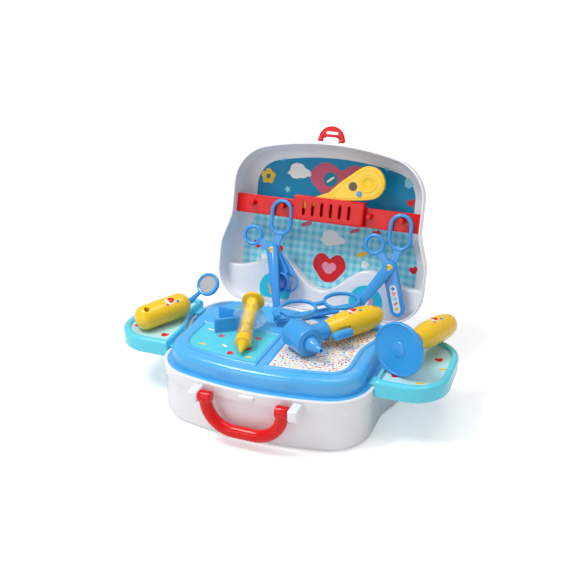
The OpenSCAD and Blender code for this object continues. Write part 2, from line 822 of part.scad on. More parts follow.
module latch_flap() color("red") on_lid() difference() {
  union() {
    translate([0, latch_s, -latch_t - flap_t / 2]) intersection() {
      cylinder(r = flap_r, h = flap_t);
      translate([-flap_r, 0, 0]) cube([2 * flap_r, flap_r, flap_t]);
    }
    for (side = [-1, 1]) translate([side * (flap_r + bracket_half + part_gap) / 2, latch_s, -latch_t])
      x_rod(latch_leg_r, flap_r - bracket_half - part_gap);
  }
  translate([-bracket_half - part_gap, latch_s - flap_r, -latch_t - flap_t])
    cube([2 * (bracket_half + part_gap), flap_r + latch_leg_r + part_gap, 2 * flap_t]);
  plate(-latch_t - flap_t, 2 * flap_t) translate([0, latch_s + flap_r / 2])
    link([-(latch_slot_w - latch_slot_h) / 2, 0], [(latch_slot_w - latch_slot_h) / 2, 0], latch_slot_h);
  translate([0, latch_s, -latch_t]) x_rod(latch_pin_r + fit_gap, 2 * flap_r + eps);
}

module latch_pin() color("silver") on_lid() translate([0, latch_s, -latch_t])
  x_rod(latch_pin_r, 2 * flap_r - 1);

// ---- trays ----

// Right tray's outline, g further in, and inner further from the case
module tray_area(g, inner) difference() {
  round_rect([half_w / 2, tray_rear_s + g], [tray_reach - g, tray_front_s - g], tray_r - g);
  polygon(case_outline(-part_gap - inner));
}

module tray(side) on_base() {
  mirror([side < 0 ? 1 : 0, 0, 0]) difference() {
    union() {
      plate(tray_low, tray_h - lip_r) tray_area(0, 0);
      for (i = [0:2])
        plate(tray_top - lip_r + lip_r * sin(30 * i) - lap, lip_r * (sin(30 * i + 30) - sin(30 * i)) + lap)
          tray_area(lip_r * (1 - cos(30 * i + 15)), lip_r * (1 - cos(30 * i + 15)));
    }
    plate(tray_floor, tray_h) tray_area(lip_w, inner_lip);
    plate(tray_low - eps, tray_h - tray_recess - tray_wall) tray_area(tray_wall, tray_wall);
  }
  intersection() {
    union() {
      hook_boxes(0, base_h + seat_gap, base_h + seat_gap + hook_t, -part_gap - tray_wall, hook_reach);
      hook_boxes(0, shelf_z + seat_gap, base_h + seat_gap + eps, hook_reach - hook_t, hook_reach);
    }
    translate([side > 0 ? 0 : -far, 0, 0]) cube([far, far, far]);
  }
}

module tray_print(side) on_base() mirror([side < 0 ? 1 : 0, 0, 0])
  plate(tray_floor, print_t) tray_area(lip_w, inner_lip);

module left_tray() color("turquoise") tray(-1);
module right_tray() color("turquoise") tray(1);
module left_tray_print() color("lightcyan") tray_print(-1);
module right_tray_print() color("lightcyan") tray_print(1);

// ---- dental mirror ----

module mirror_place() translate([mirror_at[0], mirror_at[1],
  tray_bed + seat_gap + mirror_grip_r * cos(mirror_pitch) - mirror_nose * sin(mirror_pitch)])
  rotate([0, -mirror_pitch, mirror_yaw]) rotate([mirror_roll, 0, 0]) children();

// From the mirror's grip to its bent neck
module mirror_bent() mirror_place() translate([mirror_grip_l + mirror_cuff, 0, 0])
  rotate([0, -mirror_bend, 0]) children();

module mirror_grip_body() round_grip(mirror_grip_l, 2 * mirror_neck_r + 1, mirror_grip_r, mirror_nose);
module mirror_grip_top() color("gold") mirror_place() upper() mirror_grip_body();
module mirror_grip_bottom() color("gold") mirror_place() lower() mirror_grip_body();

module mirror_frame() color("dodgerblue") {
  mirror_place() translate([mirror_grip_l, 0, 0]) rotate([0, 90, 0])
    cylinder(r1 = 2 * mirror_neck_r, r2 = mirror_neck_r, h = mirror_cuff);
  mirror_bent() {
    sphere(mirror_neck_r);
    rotate([0, 90, 0])
      cylinder(r1 = mirror_neck_r, r2 = mirror_neck_r * 0.7, h = mirror_neck_l - mirror_ring_r + 2);
    translate([mirror_neck_l, 0, -mirror_ring_t / 2]) difference() {
      cylinder(r = mirror_ring_r, h = mirror_ring_t);
      translate([0, 0, mirror_ring_t / 2]) cylinder(r = mirror_glass_r + fit_gap, h = mirror_ring_t);
    }
  }
}

module mirror_plate() color("silver") mirror_bent() translate([mirror_neck_l, 0, 0])
  cylinder(r = mirror_glass_r, h = 1);

// ---- percussor ----

module percussor_place() translate([disc_at[0], disc_at[1],
  tray_bed + seat_gap + disc_r * cos(disc_pitch) + disc_t * sin(disc_pitch)])
  rotate([0, disc_pitch, disc_yaw]) children();

module percussor_grip_body() translate([disc_t + disc_neck_l, 0, 0]) grip(grip_l, grip_neck_r, grip_r);
module percussor_grip_top() color("gold") percussor_place() upper() percussor_grip_body();
module percussor_grip_bottom() color("gold") percussor_place() lower() percussor_grip_body();

module percussor_head() color("dodgerblue") percussor_place() rotate([0, 90, 0]) difference() {
  union() {
    cylinder(r = disc_r, h = disc_t, $fn = 96);
    translate([0, 0, disc_t - eps]) cylinder(r1 = disc_neck_r * 1.7, r2 = disc_neck_r, h = disc_neck_l / 3);
    translate([0, 0, disc_t]) cylinder(r = disc_neck_r, h = disc_neck_l);
    translate([0, 0, disc_t + disc_neck_l / 2]) cylinder(r = neck_flange_r, h = 2.5);
  }
  translate([0, 0, -eps]) difference() {
    cylinder(r = disc_r - 2, h = 1.2, $fn = 96);
    cylinder(r = disc_neck_r, h = 3);
  }
}

// ---- syringe ----

module syringe_place() translate([syringe_at[0], syringe_at[1],
  pad_z + seat_gap + collar_r * cos(syringe_pitch) - nozzle_l * sin(syringe_pitch)])
  rotate([0, -syringe_pitch, syringe_yaw]) children();

module syringe_nozzle() color("gold") syringe_place() rotate([0, 90, 0]) difference() {
  union() {
    cylinder(r1 = 1.4, r2 = 6, h = nozzle_l);
    translate([0, 0, nozzle_l - eps]) cylinder(r = collar_r, h = collar_l);
  }
  translate([0, 0, nozzle_l + collar_l - 3]) cylinder(r = barrel_bore_r, h = collar_l);
}

module syringe_barrel() color("lightcyan", 0.4) syringe_place() rotate([0, 90, 0]) difference() {
  union() {
    translate([0, 0, nozzle_l + collar_l]) cylinder(r = barrel_r, h = finger_s - nozzle_l - collar_l);
    translate([0, 0, finger_s - finger_t / 2]) cylinder(r = finger_r, h = finger_t);
  }
  translate([0, 0, nozzle_l]) cylinder(r = barrel_bore_r, h = far);
}

module syringe_plunger() color("gold") syringe_place()
  translate([nozzle_l + collar_l + 2, 0, 0]) rotate([0, 90, 0]) {
    cylinder(r = barrel_bore_r - fit_gap, h = piston_l);
    cylinder(r = rod_r, h = plunger_l);
    translate([0, 0, plunger_l - rod_wide_l]) cylinder(r = rod_wide_r, h = rod_wide_l);
    translate([0, 0, plunger_l - thumb_t]) cylinder(r = thumb_r, h = thumb_t);
  }

// ---- forceps ----

module forceps() color("dodgerblue") translate([forceps_at[0], forceps_at[1], 0])
  rotate(forceps_yaw) plate(deck_z + bead_h + seat_gap, forceps_h) {
    difference() {
      circle(forceps_r);
      circle(forceps_r - forceps_t);
    }
    for (m = [-1, 1]) rotate(m * forceps_open) translate([0, m * (forceps_r - forceps_t / 2)])
      link([0, 0], [forceps_l, 0], forceps_t);
  }

// ---- glasses ----

module glasses_place() translate([glasses_at[0], glasses_at[1], glasses_z])
  rotate([0, 0, glasses_yaw]) rotate([glasses_tilt, 0, 0]) children();

module lens_oval(k) polygon([for (i = [0:35]) [(lens_rx - k) * cos(10 * i), (lens_ry - k) * sin(10 * i)]]);

// End block and ears that hold a temple's pin
module glasses_ears(side) translate([side * hinge_half, side * temple_shift, 0]) difference() {
  ear_y = temple_h / 2 + part_gap / 2;
  union() {
    translate([-3.5, -ear_y - ear_t - 0.5, -frame_t / 2]) cube([7, 2 * (ear_y + ear_t) + 1, frame_t]);
    for (k = [-1, 1]) translate([0, k * (ear_y + ear_t / 2), 0]) {
      translate([-temple_t / 2, -ear_t / 2, temple_z]) cube([temple_t, ear_t, -temple_z]);
      translate([0, ear_t / 2, temple_z]) rotate([90, 0, 0]) cylinder(r = temple_t / 2, h = ear_t);
    }
  }
  translate([0, far / 2, temple_z]) rotate([90, 0, 0]) cylinder(r = temple_pin_r + fit_gap, h = far);
}

module glasses_front() color("dodgerblue") glasses_place() {
  plate(-frame_t / 2, frame_t) {
    for (side = [-1, 1]) translate([side * lens_pitch / 2, 0]) difference() {
      lens_oval(0);
      lens_oval(lens_rim);
    }
    for (side = [-1, 1]) link([side * (lens_pitch / 2 + lens_rx - 2), 0], [side * hinge_half, 0], 7);
    difference() {
      link([-lens_pitch / 2 + lens_rx - 2, 3], [lens_pitch / 2 - lens_rx + 2, 3], 5);
      for (side = [-1, 1]) translate([side * lens_pitch / 2, 0]) lens_oval(lens_rim);
    }
  }
  for (side = [-1, 1]) glasses_ears(side);
}

module temple(side) glasses_place() translate([side * hinge_half, side * temple_shift, temple_z]) {
  rotate([90, 0, 0]) cylinder(r = temple_pin_r, h = temple_h + part_gap + 2 * ear_t, center = true);
  rotate([90, 0, 0]) cylinder(r = temple_t / 2, h = temple_h, center = true);
  translate([side > 0 ? -temple_l : 0, -temple_h / 2, -temple_t / 2]) cube([temple_l, temple_h, temple_t]);
}
module left_temple() color("dodgerblue") temple(-1);
module right_temple() color("dodgerblue") temple(1);

// ---- otoscope ----

module otoscope_place() translate([otoscope_at[0], otoscope_at[1], pad_z + seat_gap + head_r])
  rotate([0, 0, otoscope_yaw]) children();

module otoscope_grip_body() difference() {
  translate([oto_neck_l, 0, 0]) grip(grip_l, grip_neck_r, grip_r);
  translate([trigger_s - trigger_l / 2 - part_gap, -far, -trigger_r - part_gap])
    cube([trigger_l + 2 * part_gap, far - trigger_out + trigger_travel + trigger_r + part_gap,
      2 * (trigger_r + part_gap)]);
  translate([stem_s, -far, 0]) rotate([-90, 0, 0]) cylinder(r = trigger_stem_r + fit_gap, h = far - 1);
}
module otoscope_grip_top() color("gold") otoscope_place() upper() otoscope_grip_body();
module otoscope_grip_bottom() color("gold") otoscope_place() lower() otoscope_grip_body();

module otoscope_head() color("dodgerblue") otoscope_place() difference() {
  union() {
    rotate([90, 0, 0]) cylinder(r = head_r, h = head_l, center = true);
    translate([0, head_l / 2 - 1, 0]) rotate([-90, 0, 0]) cylinder(r1 = head_r - 1, r2 = head_r - 5, h = 4);
    rotate([0, 90, 0]) cylinder(r = grip_neck_r, h = oto_neck_l);
    translate([oto_neck_l - 3, 0, 0]) rotate([0, 90, 0]) cylinder(r = neck_flange_r, h = 3);
  }
  translate([0, -head_l / 2 - eps, 0]) rotate([-90, 0, 0])
    cylinder(r = speculum_foot_r + fit_gap, h = speculum_in + 2 * eps);
}

module otoscope_speculum() color("dodgerblue") otoscope_place()
  translate([0, -head_l / 2 + speculum_in, 0]) rotate([90, 0, 0]) difference() {
    union() {
      cylinder(r = speculum_foot_r, h = 5);
      translate([0, 0, 5 - lap])
        cylinder(r1 = speculum_foot_r - 1.6, r2 = speculum_tip_r, h = speculum_l - 2);
    }
    translate([0, 0, 6]) cylinder(r = speculum_bore_r, h = far);
  }

module otoscope_trigger() color("dodgerblue") otoscope_place() {
  translate([trigger_s - trigger_l / 2, -trigger_out, 0]) capsule(trigger_l, trigger_r);
  translate([stem_s, -trigger_out, 0]) rotate([-90, 0, 0])
    cylinder(r = trigger_stem_r, h = trigger_out - trigger_travel - 1.5);
}

// ---- tools hung on the rack ----

// Loop of an arm with its link to the pivot, in the arm's own layer
module round_arm(pivot, loop_at) {
  translate([loop_at[0], loop_at[1], 0]) ring(round_loop_r, loop_r);
  toward = (pivot - loop_at) / norm(pivot - loop_at);
  plate(-arm_t / 2, arm_t) {
    link(loop_at + toward * (round_loop_r - loop_r / 2), pivot, arm_w);
    translate(pivot) circle(boss_r);
  }
}

module long_arm(pivot, peg_x) {
  loop_s = hang_s + loop_r * 2 - long_loop_h;
  translate([peg_x, loop_s, 0]) long_loop(long_loop_w, long_loop_h, loop_r);
  plate(-arm_t / 2, arm_t) {
    link([peg_x, loop_s - long_loop_h + loop_r], pivot, arm_w);
    translate(pivot) circle(boss_r);
  }
}

module pivot_bore(pivot) translate([pivot[0], pivot[1], -far / 2])
  cylinder(r = shank_r + fit_gap, h = far);

module layer(t) on_lid() translate([0, 0, -t]) children();

module pivot_cap(pivot) on_lid() translate([pivot[0], pivot[1], 0]) {
  translate([0, 0, -arm_rear_t - arm_t / 2]) cylinder(r = shank_r, h = arm_rear_t - arm_front_t + arm_t + 1);
  translate([0, 0, -arm_front_t + arm_t / 2 + part_gap / 2]) cylinder(r = cap_r, h = 1.8);
}

module clamp_long_arm() color("dodgerblue") layer(arm_rear_t) difference() {
  union() {
    long_arm(clamp_pivot, -peg_in);
    plate(-arm_t / 2, arm_t) link(clamp_pivot, clamp_cup + [cup_shift, cup_r], arm_w + 2);
    translate([clamp_cup[0] + cup_shift, clamp_cup[1], -arm_t / 2]) difference() {
      cylinder(r = cup_r, h = arm_t);
      translate([0, 0, -1]) cylinder(r = cup_r - cup_wall, h = far);
    }
  }
  pivot_bore(clamp_pivot);
}

module clamp_round_arm() color("dodgerblue") layer(arm_front_t) difference() {
  union() {
    round_arm(clamp_pivot, clamp_loop);
    plate(-arm_t / 2, arm_t) link(clamp_pivot, clamp_cup + [0, cup_r], arm_w + 4);
    translate([clamp_cup[0], clamp_cup[1], -arm_t / 2]) cylinder(r = cup_r, h = cup_l);
  }
  translate([clamp_cup[0], clamp_cup[1], -arm_t / 2 + cup_wall])
    cylinder(r1 = cup_r - 2 * cup_wall, r2 = cup_r - cup_wall * 0.6, h = cup_l);
  pivot_bore(clamp_pivot);
}

module clamp_cap() color("gold") pivot_cap(clamp_pivot);

module scissors_long_arm() color("dodgerblue") layer(arm_rear_t) difference() {
  union() {
    long_arm(scissors_pivot, peg_out);
    plate(-arm_t / 2, arm_t) link(scissors_pivot, scissors_end, blade_w);
  }
  pivot_bore(scissors_pivot);
}

// Window of the front blade, k further in
module blade_window(k) {
  along = (scissors_pivot - scissors_end) / norm(scissors_pivot - scissors_end);
  link(scissors_end, scissors_end + along * (strip_l - strip_w), strip_w - 2 * k);
}

module scissors_round_arm() color("dodgerblue") layer(arm_front_t) difference() {
  union() {
    round_arm(scissors_pivot, scissors_loop);
    plate(-arm_t / 2, arm_t) link(scissors_pivot, scissors_end, blade_w);
  }
  plate(arm_t / 2 - 1, far) blade_window(0);
  pivot_bore(scissors_pivot);
}

module scissors_cap() color("gold") pivot_cap(scissors_pivot);

module scissors_strip() color("snow") layer(arm_front_t) plate(arm_t / 2 - 1, print_t) blade_window(fit_gap);

// ---- thermometer ----

module thermo_place() on_lid() translate([thermo_at[0], thermo_at[1], -thermo_mid])
  rotate([0, 0, thermo_yaw]) children();

module thermo_area() {
  circle(thermo_r);
  polygon([[0, thermo_r], [-thermo_r * 0.5, thermo_r * 0.9], [-thermo_r * 1.5, thermo_r * 0.62],
    [-thermo_r * 2.5, stem_w / 2], [-thermo_r * 2.5, -stem_w / 2], [-thermo_r * 1.5, -thermo_r * 0.62],
    [-thermo_r * 0.5, -thermo_r * 0.9], [0, -thermo_r]]);
}

module thermo_body() {
  plate(-thermo_t / 2, thermo_t) thermo_area();
  plate(-stem_t / 2, stem_t) link([-thermo_l + stem_w / 2, 0], [-thermo_r * 2, 0], stem_w);
}

module thermometer_front() color("gold") thermo_place() difference() {
  union() {
    upper() thermo_body();
    translate([0, 0, thermo_t / 2 - eps]) cylinder(r = thermo_r * 0.55, h = 0.6);
  }
  translate([window_at[0], window_at[1], thermo_t / 2 - 1.2]) cylinder(r = 5 + fit_gap, h = 4);
  translate([button_at[0], button_at[1], -eps]) cylinder(r = 3 + fit_gap, h = 9);
}
module thermometer_back() color("gold") thermo_place() lower() thermo_body();
module thermometer_window() color("sienna") thermo_place()
  translate([window_at[0], window_at[1], thermo_t / 2 - 1.2]) cylinder(r = 5, h = 1.2);
module thermometer_button() color("royalblue") thermo_place()
  translate([button_at[0], button_at[1], button_travel + 0.2]) cylinder(r = 3, h = thermo_t / 2 + 0.6);

base_shell();
hinge_pins();
handle();
deck_insert();
left_pad_bead();
right_pad_bead();
left_pad_print();
right_pad_print();
lid_shell();
lid_backdrop();
left_dome_print();
right_dome_print();
tool_rack();
latch_flap();
latch_pin();
left_tray();
left_tray_print();
right_tray();
right_tray_print();
mirror_grip_top();
mirror_grip_bottom();
mirror_frame();
mirror_plate();
percussor_grip_top();
percussor_grip_bottom();
percussor_head();
syringe_barrel();
syringe_nozzle();
syringe_plunger();
forceps();
glasses_front();
left_temple();
right_temple();
otoscope_head();
otoscope_speculum();
otoscope_grip_top();
otoscope_grip_bottom();
otoscope_trigger();
clamp_long_arm();
clamp_round_arm();
clamp_cap();
scissors_long_arm();
scissors_round_arm();
scissors_cap();
scissors_strip();
thermometer_front();
thermometer_back();
thermometer_window();
thermometer_button();
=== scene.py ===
import math

import bmesh
import bpy
import numpy as np
from mathutils import Matrix, Vector


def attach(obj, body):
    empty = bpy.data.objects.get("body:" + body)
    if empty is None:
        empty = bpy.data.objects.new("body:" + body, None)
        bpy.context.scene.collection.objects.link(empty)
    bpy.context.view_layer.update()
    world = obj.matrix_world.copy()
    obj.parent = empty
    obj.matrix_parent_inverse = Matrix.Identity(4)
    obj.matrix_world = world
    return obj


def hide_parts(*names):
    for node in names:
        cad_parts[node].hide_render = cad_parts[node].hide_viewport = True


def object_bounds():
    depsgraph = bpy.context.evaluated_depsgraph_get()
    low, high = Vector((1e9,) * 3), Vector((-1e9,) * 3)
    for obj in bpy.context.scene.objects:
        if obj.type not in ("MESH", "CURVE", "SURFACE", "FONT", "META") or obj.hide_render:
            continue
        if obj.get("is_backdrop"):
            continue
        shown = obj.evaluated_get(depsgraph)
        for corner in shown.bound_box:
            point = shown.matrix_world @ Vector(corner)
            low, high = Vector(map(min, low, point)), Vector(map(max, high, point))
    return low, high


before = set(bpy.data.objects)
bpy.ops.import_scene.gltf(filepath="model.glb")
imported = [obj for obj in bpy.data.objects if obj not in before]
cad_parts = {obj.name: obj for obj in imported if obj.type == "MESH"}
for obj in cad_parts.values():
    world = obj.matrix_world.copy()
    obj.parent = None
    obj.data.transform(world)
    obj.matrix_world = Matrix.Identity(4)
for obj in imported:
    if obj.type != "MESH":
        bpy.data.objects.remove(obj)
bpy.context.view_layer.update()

# ---- camera, floor and light ----
# A plain white sweep under soft studio light from above and a little left, seen as in the photograph.
# The floor adds some white of its own for the eye only, more of it far away, so that it keeps the shadow and stays
# white up to the horizon.
AZIMUTH, ELEVATION, DISTANCE, LENS, SENSOR = math.radians(20.88), math.radians(24.42), 0.9209, 55.4, 36.0
TARGET = Vector((0.0084, 0.0, 0.1283))


def linear(hex_code):
    """Linear RGBA of an sRGB hex value: c / 12.92 up to 0.04045, else ((c + 0.055) / 1.055) ** 2.4."""
    c = np.array([int(hex_code[i : i + 2], 16) for i in (1, 3, 5)]) / 255
    c = np.where(c <= 0.04045, c / 12.92, ((c + 0.055) / 1.055) ** 2.4)
    return (*c.tolist(), 1.0)


def add_node(tree, kind, inputs=None, **settings):
    """Adds a node. inputs maps a socket to a value, or to the output that feeds it."""
    node = tree.nodes.new(kind)
    for key, value in settings.items():
        setattr(node, key, value)
    for key, value in (inputs or {}).items():
        if isinstance(value, bpy.types.NodeSocket):
            tree.links.new(value, node.inputs[key])
        else:
            node.inputs[key].default_value = value
    return node


def seen_by_eye(tree):
    """1 for rays of the camera and of clear plastic, else 0."""
    path = add_node(tree, "ShaderNodeLightPath").outputs
    return add_node(tree, "ShaderNodeMath", {0: path["Is Camera Ray"], 1: path["Is Transmission Ray"]},
                    operation="ADD", use_clamp=True).outputs[0]


reach = math.cos(ELEVATION)
back = Vector((math.sin(AZIMUTH) * reach, -math.cos(AZIMUTH) * reach, math.sin(ELEVATION)))
camera = bpy.data.objects.new("camera", bpy.data.cameras.new("camera"))
camera.data.lens, camera.data.sensor_width, camera.data.clip_start = LENS, SENSOR, 0.01
camera.location = TARGET + back * DISTANCE
camera.rotation_euler = back.to_track_quat("Z", "Y").to_euler()
bpy.context.scene.collection.objects.link(camera)
bpy.context.scene.camera = camera
bpy.context.scene.view_settings.view_transform = "Standard"

paper = bpy.data.materials.new("studio_paper_matt")
paper.use_nodes = True
tree = paper.node_tree
tree.nodes.clear()
grain = add_node(tree, "ShaderNodeTexNoise", {"Scale": 900.0, "Detail": 2.0})
tint = add_node(tree, "ShaderNodeMix", {"Factor": grain.outputs["Fac"], 6: linear("#f3f3f5"), 7: linear("#fafafb")},
                data_type="RGBA")
diffuse = add_node(tree, "ShaderNodeBsdfDiffuse", {"Color": tint.outputs[2], "Roughness": 0.5})
where = add_node(tree, "ShaderNodeTexCoord").outputs["Object"]
far = add_node(tree, "ShaderNodeVectorMath", {0: where}, operation="LENGTH").outputs["Value"]
whiter = add_node(tree, "ShaderNodeMapRange", {0: far, 1: 0.45, 2: 1.1, 3: 0.36, 4: 1.0}).outputs[0]
share = add_node(tree, "ShaderNodeMath", {0: seen_by_eye(tree), 1: whiter}, operation="MULTIPLY")
glow = add_node(tree, "ShaderNodeEmission", {"Color": (1, 1, 1, 1), "Strength": share.outputs[0]})
both = add_node(tree, "ShaderNodeAddShader", {0: diffuse.outputs[0], 1: glow.outputs[0]})
add_node(tree, "ShaderNodeOutputMaterial", {"Surface": both.outputs[0]})

floor_mesh = bpy.data.meshes.new("floor")
floor_mesh.from_pydata([(-6, -6, -0.0002), (6, -6, -0.0002), (6, 6, -0.0002), (-6, 6, -0.0002)], [], [(0, 1, 2, 3)])
floor = bpy.data.objects.new("floor", floor_mesh)
floor.data.materials.append(paper)
bpy.context.scene.collection.objects.link(floor)
floor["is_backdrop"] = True

world = bpy.data.worlds.new("studio")
bpy.context.scene.world = world
world.use_nodes = True
tree = world.node_tree
tree.nodes.clear()
level = add_node(tree, "ShaderNodeMix", {"Factor": seen_by_eye(tree), 2: 0.42, 3: 1.0}, data_type="FLOAT")
sky = add_node(tree, "ShaderNodeBackground", {"Color": linear("#ffffff"), "Strength": level.outputs[0]})
add_node(tree, "ShaderNodeOutputWorld", {"Surface": sky.outputs[0]})

for name, place, size, power in (
    ("key_lamp", (-0.55, -0.35, 1.35), 0.5, 11.0),
    ("top_lamp", (0.25, 0.1, 1.5), 0.8, 5.0),
    ("front_lamp", (-0.5, -1.4, 0.6), 0.8, 3.0),
):
    lamp = bpy.data.lights.new(name, "AREA")
    lamp.size, lamp.energy = size, power
    holder = bpy.data.objects.new(name, lamp)
    holder.location = place
    holder.rotation_euler = (Vector(place) - Vector((0, 0, 0.08))).to_track_quat("Z", "Y").to_euler()
    bpy.context.scene.collection.objects.link(holder)

# ---- base shell ----
# The white lower half of the case: one injection moulding in ABS with a gloss finish, a thicker band at
# the rim, two lugs for the handle, a catch for the latch and four knuckles for the hinge pins.
CASE_HALF, FRONT_HALF, CASE_D, HALF_D, BASE_H = 125.0, 114.0, 194.0, 97.0, 58.0
REAR_R, FRONT_R, BOW_R, WAIST_S, WAIST_LEN = 37.0, 48.0, 330.0, 84.0, 47.0
HINGE_X, KNUCKLE_L, KNUCKLE_R, HANDLE_Y, HANDLE_Z = 60.0, 11.0, 2.7, -105.6, 50.0


def turned(c, r, a0, a1, n):
    """n + 1 points of an arc round c, from angle a0 to a1 in degrees: c + r (cos a, sin a)."""
    a = np.radians(np.linspace(a0, a1, n + 1))
    return np.stack([c[0] + r * np.cos(a), c[1] + r * np.sin(a)], 1)


def front_arcs(g):
    """The handle side of the outline, g inside it: a corner arc that runs tangent into the wide bow."""
    rf, rb = FRONT_R - g, BOW_R - g
    cx, cy = FRONT_HALF - g - rf, CASE_D - g - rb
    yc = cy + math.sqrt((rb - rf) ** 2 - cx**2)
    turn = math.degrees(math.atan2(yc - cy, cx))
    return np.concatenate([turned((cx, yc), rf, 0, turn, 24), turned((0, cy), rb, turn, 90, 16)[1:]])


def mirrored(half):
    """A closed loop from its right half, which runs from the hinge side to the handle side."""
    return np.concatenate([half, half[-2::-1] * (-1, 1)])


def case_loop(g):
    """Outline of the case, g inside it, as (x, s): corner arc, waist x = wl + (wu - wl) u u (3 - 2 u), front arcs."""
    u = np.linspace(0, 1, 25)
    wl, wu = CASE_HALF - g, FRONT_HALF - g
    waist = np.stack([wl + (wu - wl) * u * u * (3 - 2 * u), WAIST_S + WAIST_LEN * (u - 0.5)], 1)
    rr = REAR_R - g
    return mirrored(np.concatenate([turned((wl - rr, REAR_R), rr, -90, 0, 16), waist, front_arcs(g)]))


def on_base(loop, z):
    """Points of the standing base from a loop in (x, s) at height z."""
    return np.stack([loop[:, 0], HALF_D - loop[:, 1], np.full(len(loop), float(z))], 1)


def stack(place, loop, profile):
    """Grid of rings: each row (g, z) of the profile is the loop g inside the outline, placed at z."""
    return np.stack([place(loop(g), z) for g, z in profile])


def capped(rings, at=None):
    """The grid of rings with its first and last ring drawn in to a point in 6 steps: p + (centre - p) k."""
    first, last = rings[0], rings[-1]
    k = np.linspace(1, 0, 7)[:-1, None, None]
    centre = [r.mean(0) if at is None else np.array([at[0], at[1], r[0, 2]]) for r in (first, last)]
    return np.concatenate([first + (centre[0] - first) * k, rings, (last + (centre[1] - last) * k)[::-1]])


def surface(name, body, grids, materials, replaces=(), closed=True, sharp=38.0):
    """One piece from grids of points in mm. A grid is (points, u runs round, v runs round, material number), or just
    the points where each row runs round and the rows don't."""
    verts, faces, numbers, start = [], [], [], 0
    for grid in grids:
        points, round_u, round_v, number = grid if isinstance(grid, tuple) else (grid, False, True, 0)
        nu, nv = points.shape[:2]
        i = np.arange(nu if round_u else nu - 1)[:, None]
        j = np.arange(nv if round_v else nv - 1)[None, :]
        i1, j1 = (i + 1) % nu, (j + 1) % nv
        quads = np.stack(np.broadcast_arrays(i * nv + j, i1 * nv + j, i1 * nv + j1, i * nv + j1), -1) + start
        verts.append(points.reshape(-1, 3))
        faces.append(quads.reshape(-1, 4))
        numbers.append(np.full(quads.shape[0] * quads.shape[1], number))
        start += nu * nv
    mesh = bpy.data.meshes.new(name)
    mesh.from_pydata((np.concatenate(verts) * 0.001).tolist(), [], np.concatenate(faces).tolist())
    mesh.polygons.foreach_set("material_index", np.concatenate(numbers).astype(np.int32))
    work = bmesh.new()
    work.from_mesh(mesh)
    bmesh.ops.remove_doubles(work, verts=work.verts, dist=2e-6)
    if closed:
        bmesh.ops.recalc_face_normals(work, faces=work.faces)
    work.to_mesh(mesh)
    work.free()
    for material in materials:
        mesh.materials.append(material)
    piece = bpy.data.objects.new(name, mesh)
    bpy.context.scene.collection.objects.link(piece)
    soften(piece, sharp)
    if body:
        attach(piece, body)
    if replaces:
        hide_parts(*replaces)
    return piece


def soften(piece, sharp=38.0):
    """Smooth shading, with edges sharp where their faces turn by more than the angle."""
    mesh = piece.data
    mesh.polygons.foreach_set("use_smooth", np.ones(len(mesh.polygons), bool))
    mesh.set_sharp_from_angle(angle=math.radians(sharp))
    mesh.update()


def cut(piece, *grids):
    """Takes the grids' solids out of the piece for good."""
    for grid in grids:
        cutter = surface("cutter", None, [grid], [])
        step = piece.modifiers.new("cut", "BOOLEAN")
        step.operation, step.solver, step.object, step.use_self = "DIFFERENCE", "EXACT", cutter, True
        done = piece.evaluated_get(bpy.context.evaluated_depsgraph_get())
        mesh = bpy.data.meshes.new_from_object(done)
        piece.modifiers.clear()
        old = piece.data
        piece.data = mesh
        bpy.data.meshes.remove(old)
        gone = cutter.data
        bpy.data.objects.remove(cutter)
        bpy.data.meshes.remove(gone)
    soften(piece)
    return piece


def lathe(profile, at=(0, 0, 0), turn=None, n=64):
    """Grid of a body of revolution: row (a, r) gives (a, r cos v, r sin v), turned by the matrix and moved to at."""
    profile = np.array(profile, float)
    v = np.linspace(0, 2 * np.pi, n, endpoint=False)
    a, r = profile[:, :1] + 0 * v, profile[:, 1:]
    points = np.stack([a, r * np.cos(v), r * np.sin(v)], -1)
    return placed(points, at, turn)


def placed(points, at, turn=None):
    """Points turned by a 3 x 3 matrix, then moved to at."""
    return (points if turn is None else points @ np.array(turn).T) + np.array(at, float)


def turn_of(*steps):
    """Matrix of turns in degrees about x, y or z, applied from the last to the first."""
    m = np.eye(3)
    for axis, angle in steps:
        m = m @ np.array(Matrix.Rotation(math.radians(angle), 3, axis.upper()))
    return m


def rod(r, l, edge=0.3, n=48, **place):
    """Grid of a rod along x, centred, with rounded edges."""
    round_edge = turned((l / 2 - edge, r - edge), edge, 90, 0, 4)
    profile = np.concatenate([[[-l / 2, 0]], round_edge[::-1] * (-1, 1), round_edge, [[l / 2, 0]]])
    return lathe(profile, n=n, **place)


def block(lo, hi, edge=0.6, n=3, at=(0, 0, 0), turn=None):
    """Grid of a box with rounded edges: rings of a rounded rectangle, drawn in along a quarter arc at both ends."""
    lo, hi = np.array(lo, float), np.array(hi, float)
    arcs = turned((0, 0), edge, 0, 90, n), turned((0, 0), edge, 90, 180, n)
    arcs = arcs + (turned((0, 0), edge, 180, 270, n), turned((0, 0), edge, 270, 360, n))
    corner = [(hi[0], hi[1]), (lo[0], hi[1]), (lo[0], lo[1]), (hi[0], lo[1])]
    signs = [(-1, -1), (1, -1), (1, 1), (-1, 1)]
    base = np.concatenate([np.array(c) + edge * np.array(s) + 0 * a for c, s, a in zip(corner, signs, arcs)])
    spread = np.concatenate(arcs)
    lift = turned((0, 0), 1.0, -90, 0, n)
    rows = [(c, lo[2] + edge + edge * s) for c, s in lift] + [(c, hi[2] - edge - edge * s) for c, s in lift[::-1]]
    rings = np.stack([np.column_stack([base + spread * c, np.full(len(base), z)]) for c, z in rows])
    return placed(capped(rings), at, turn)


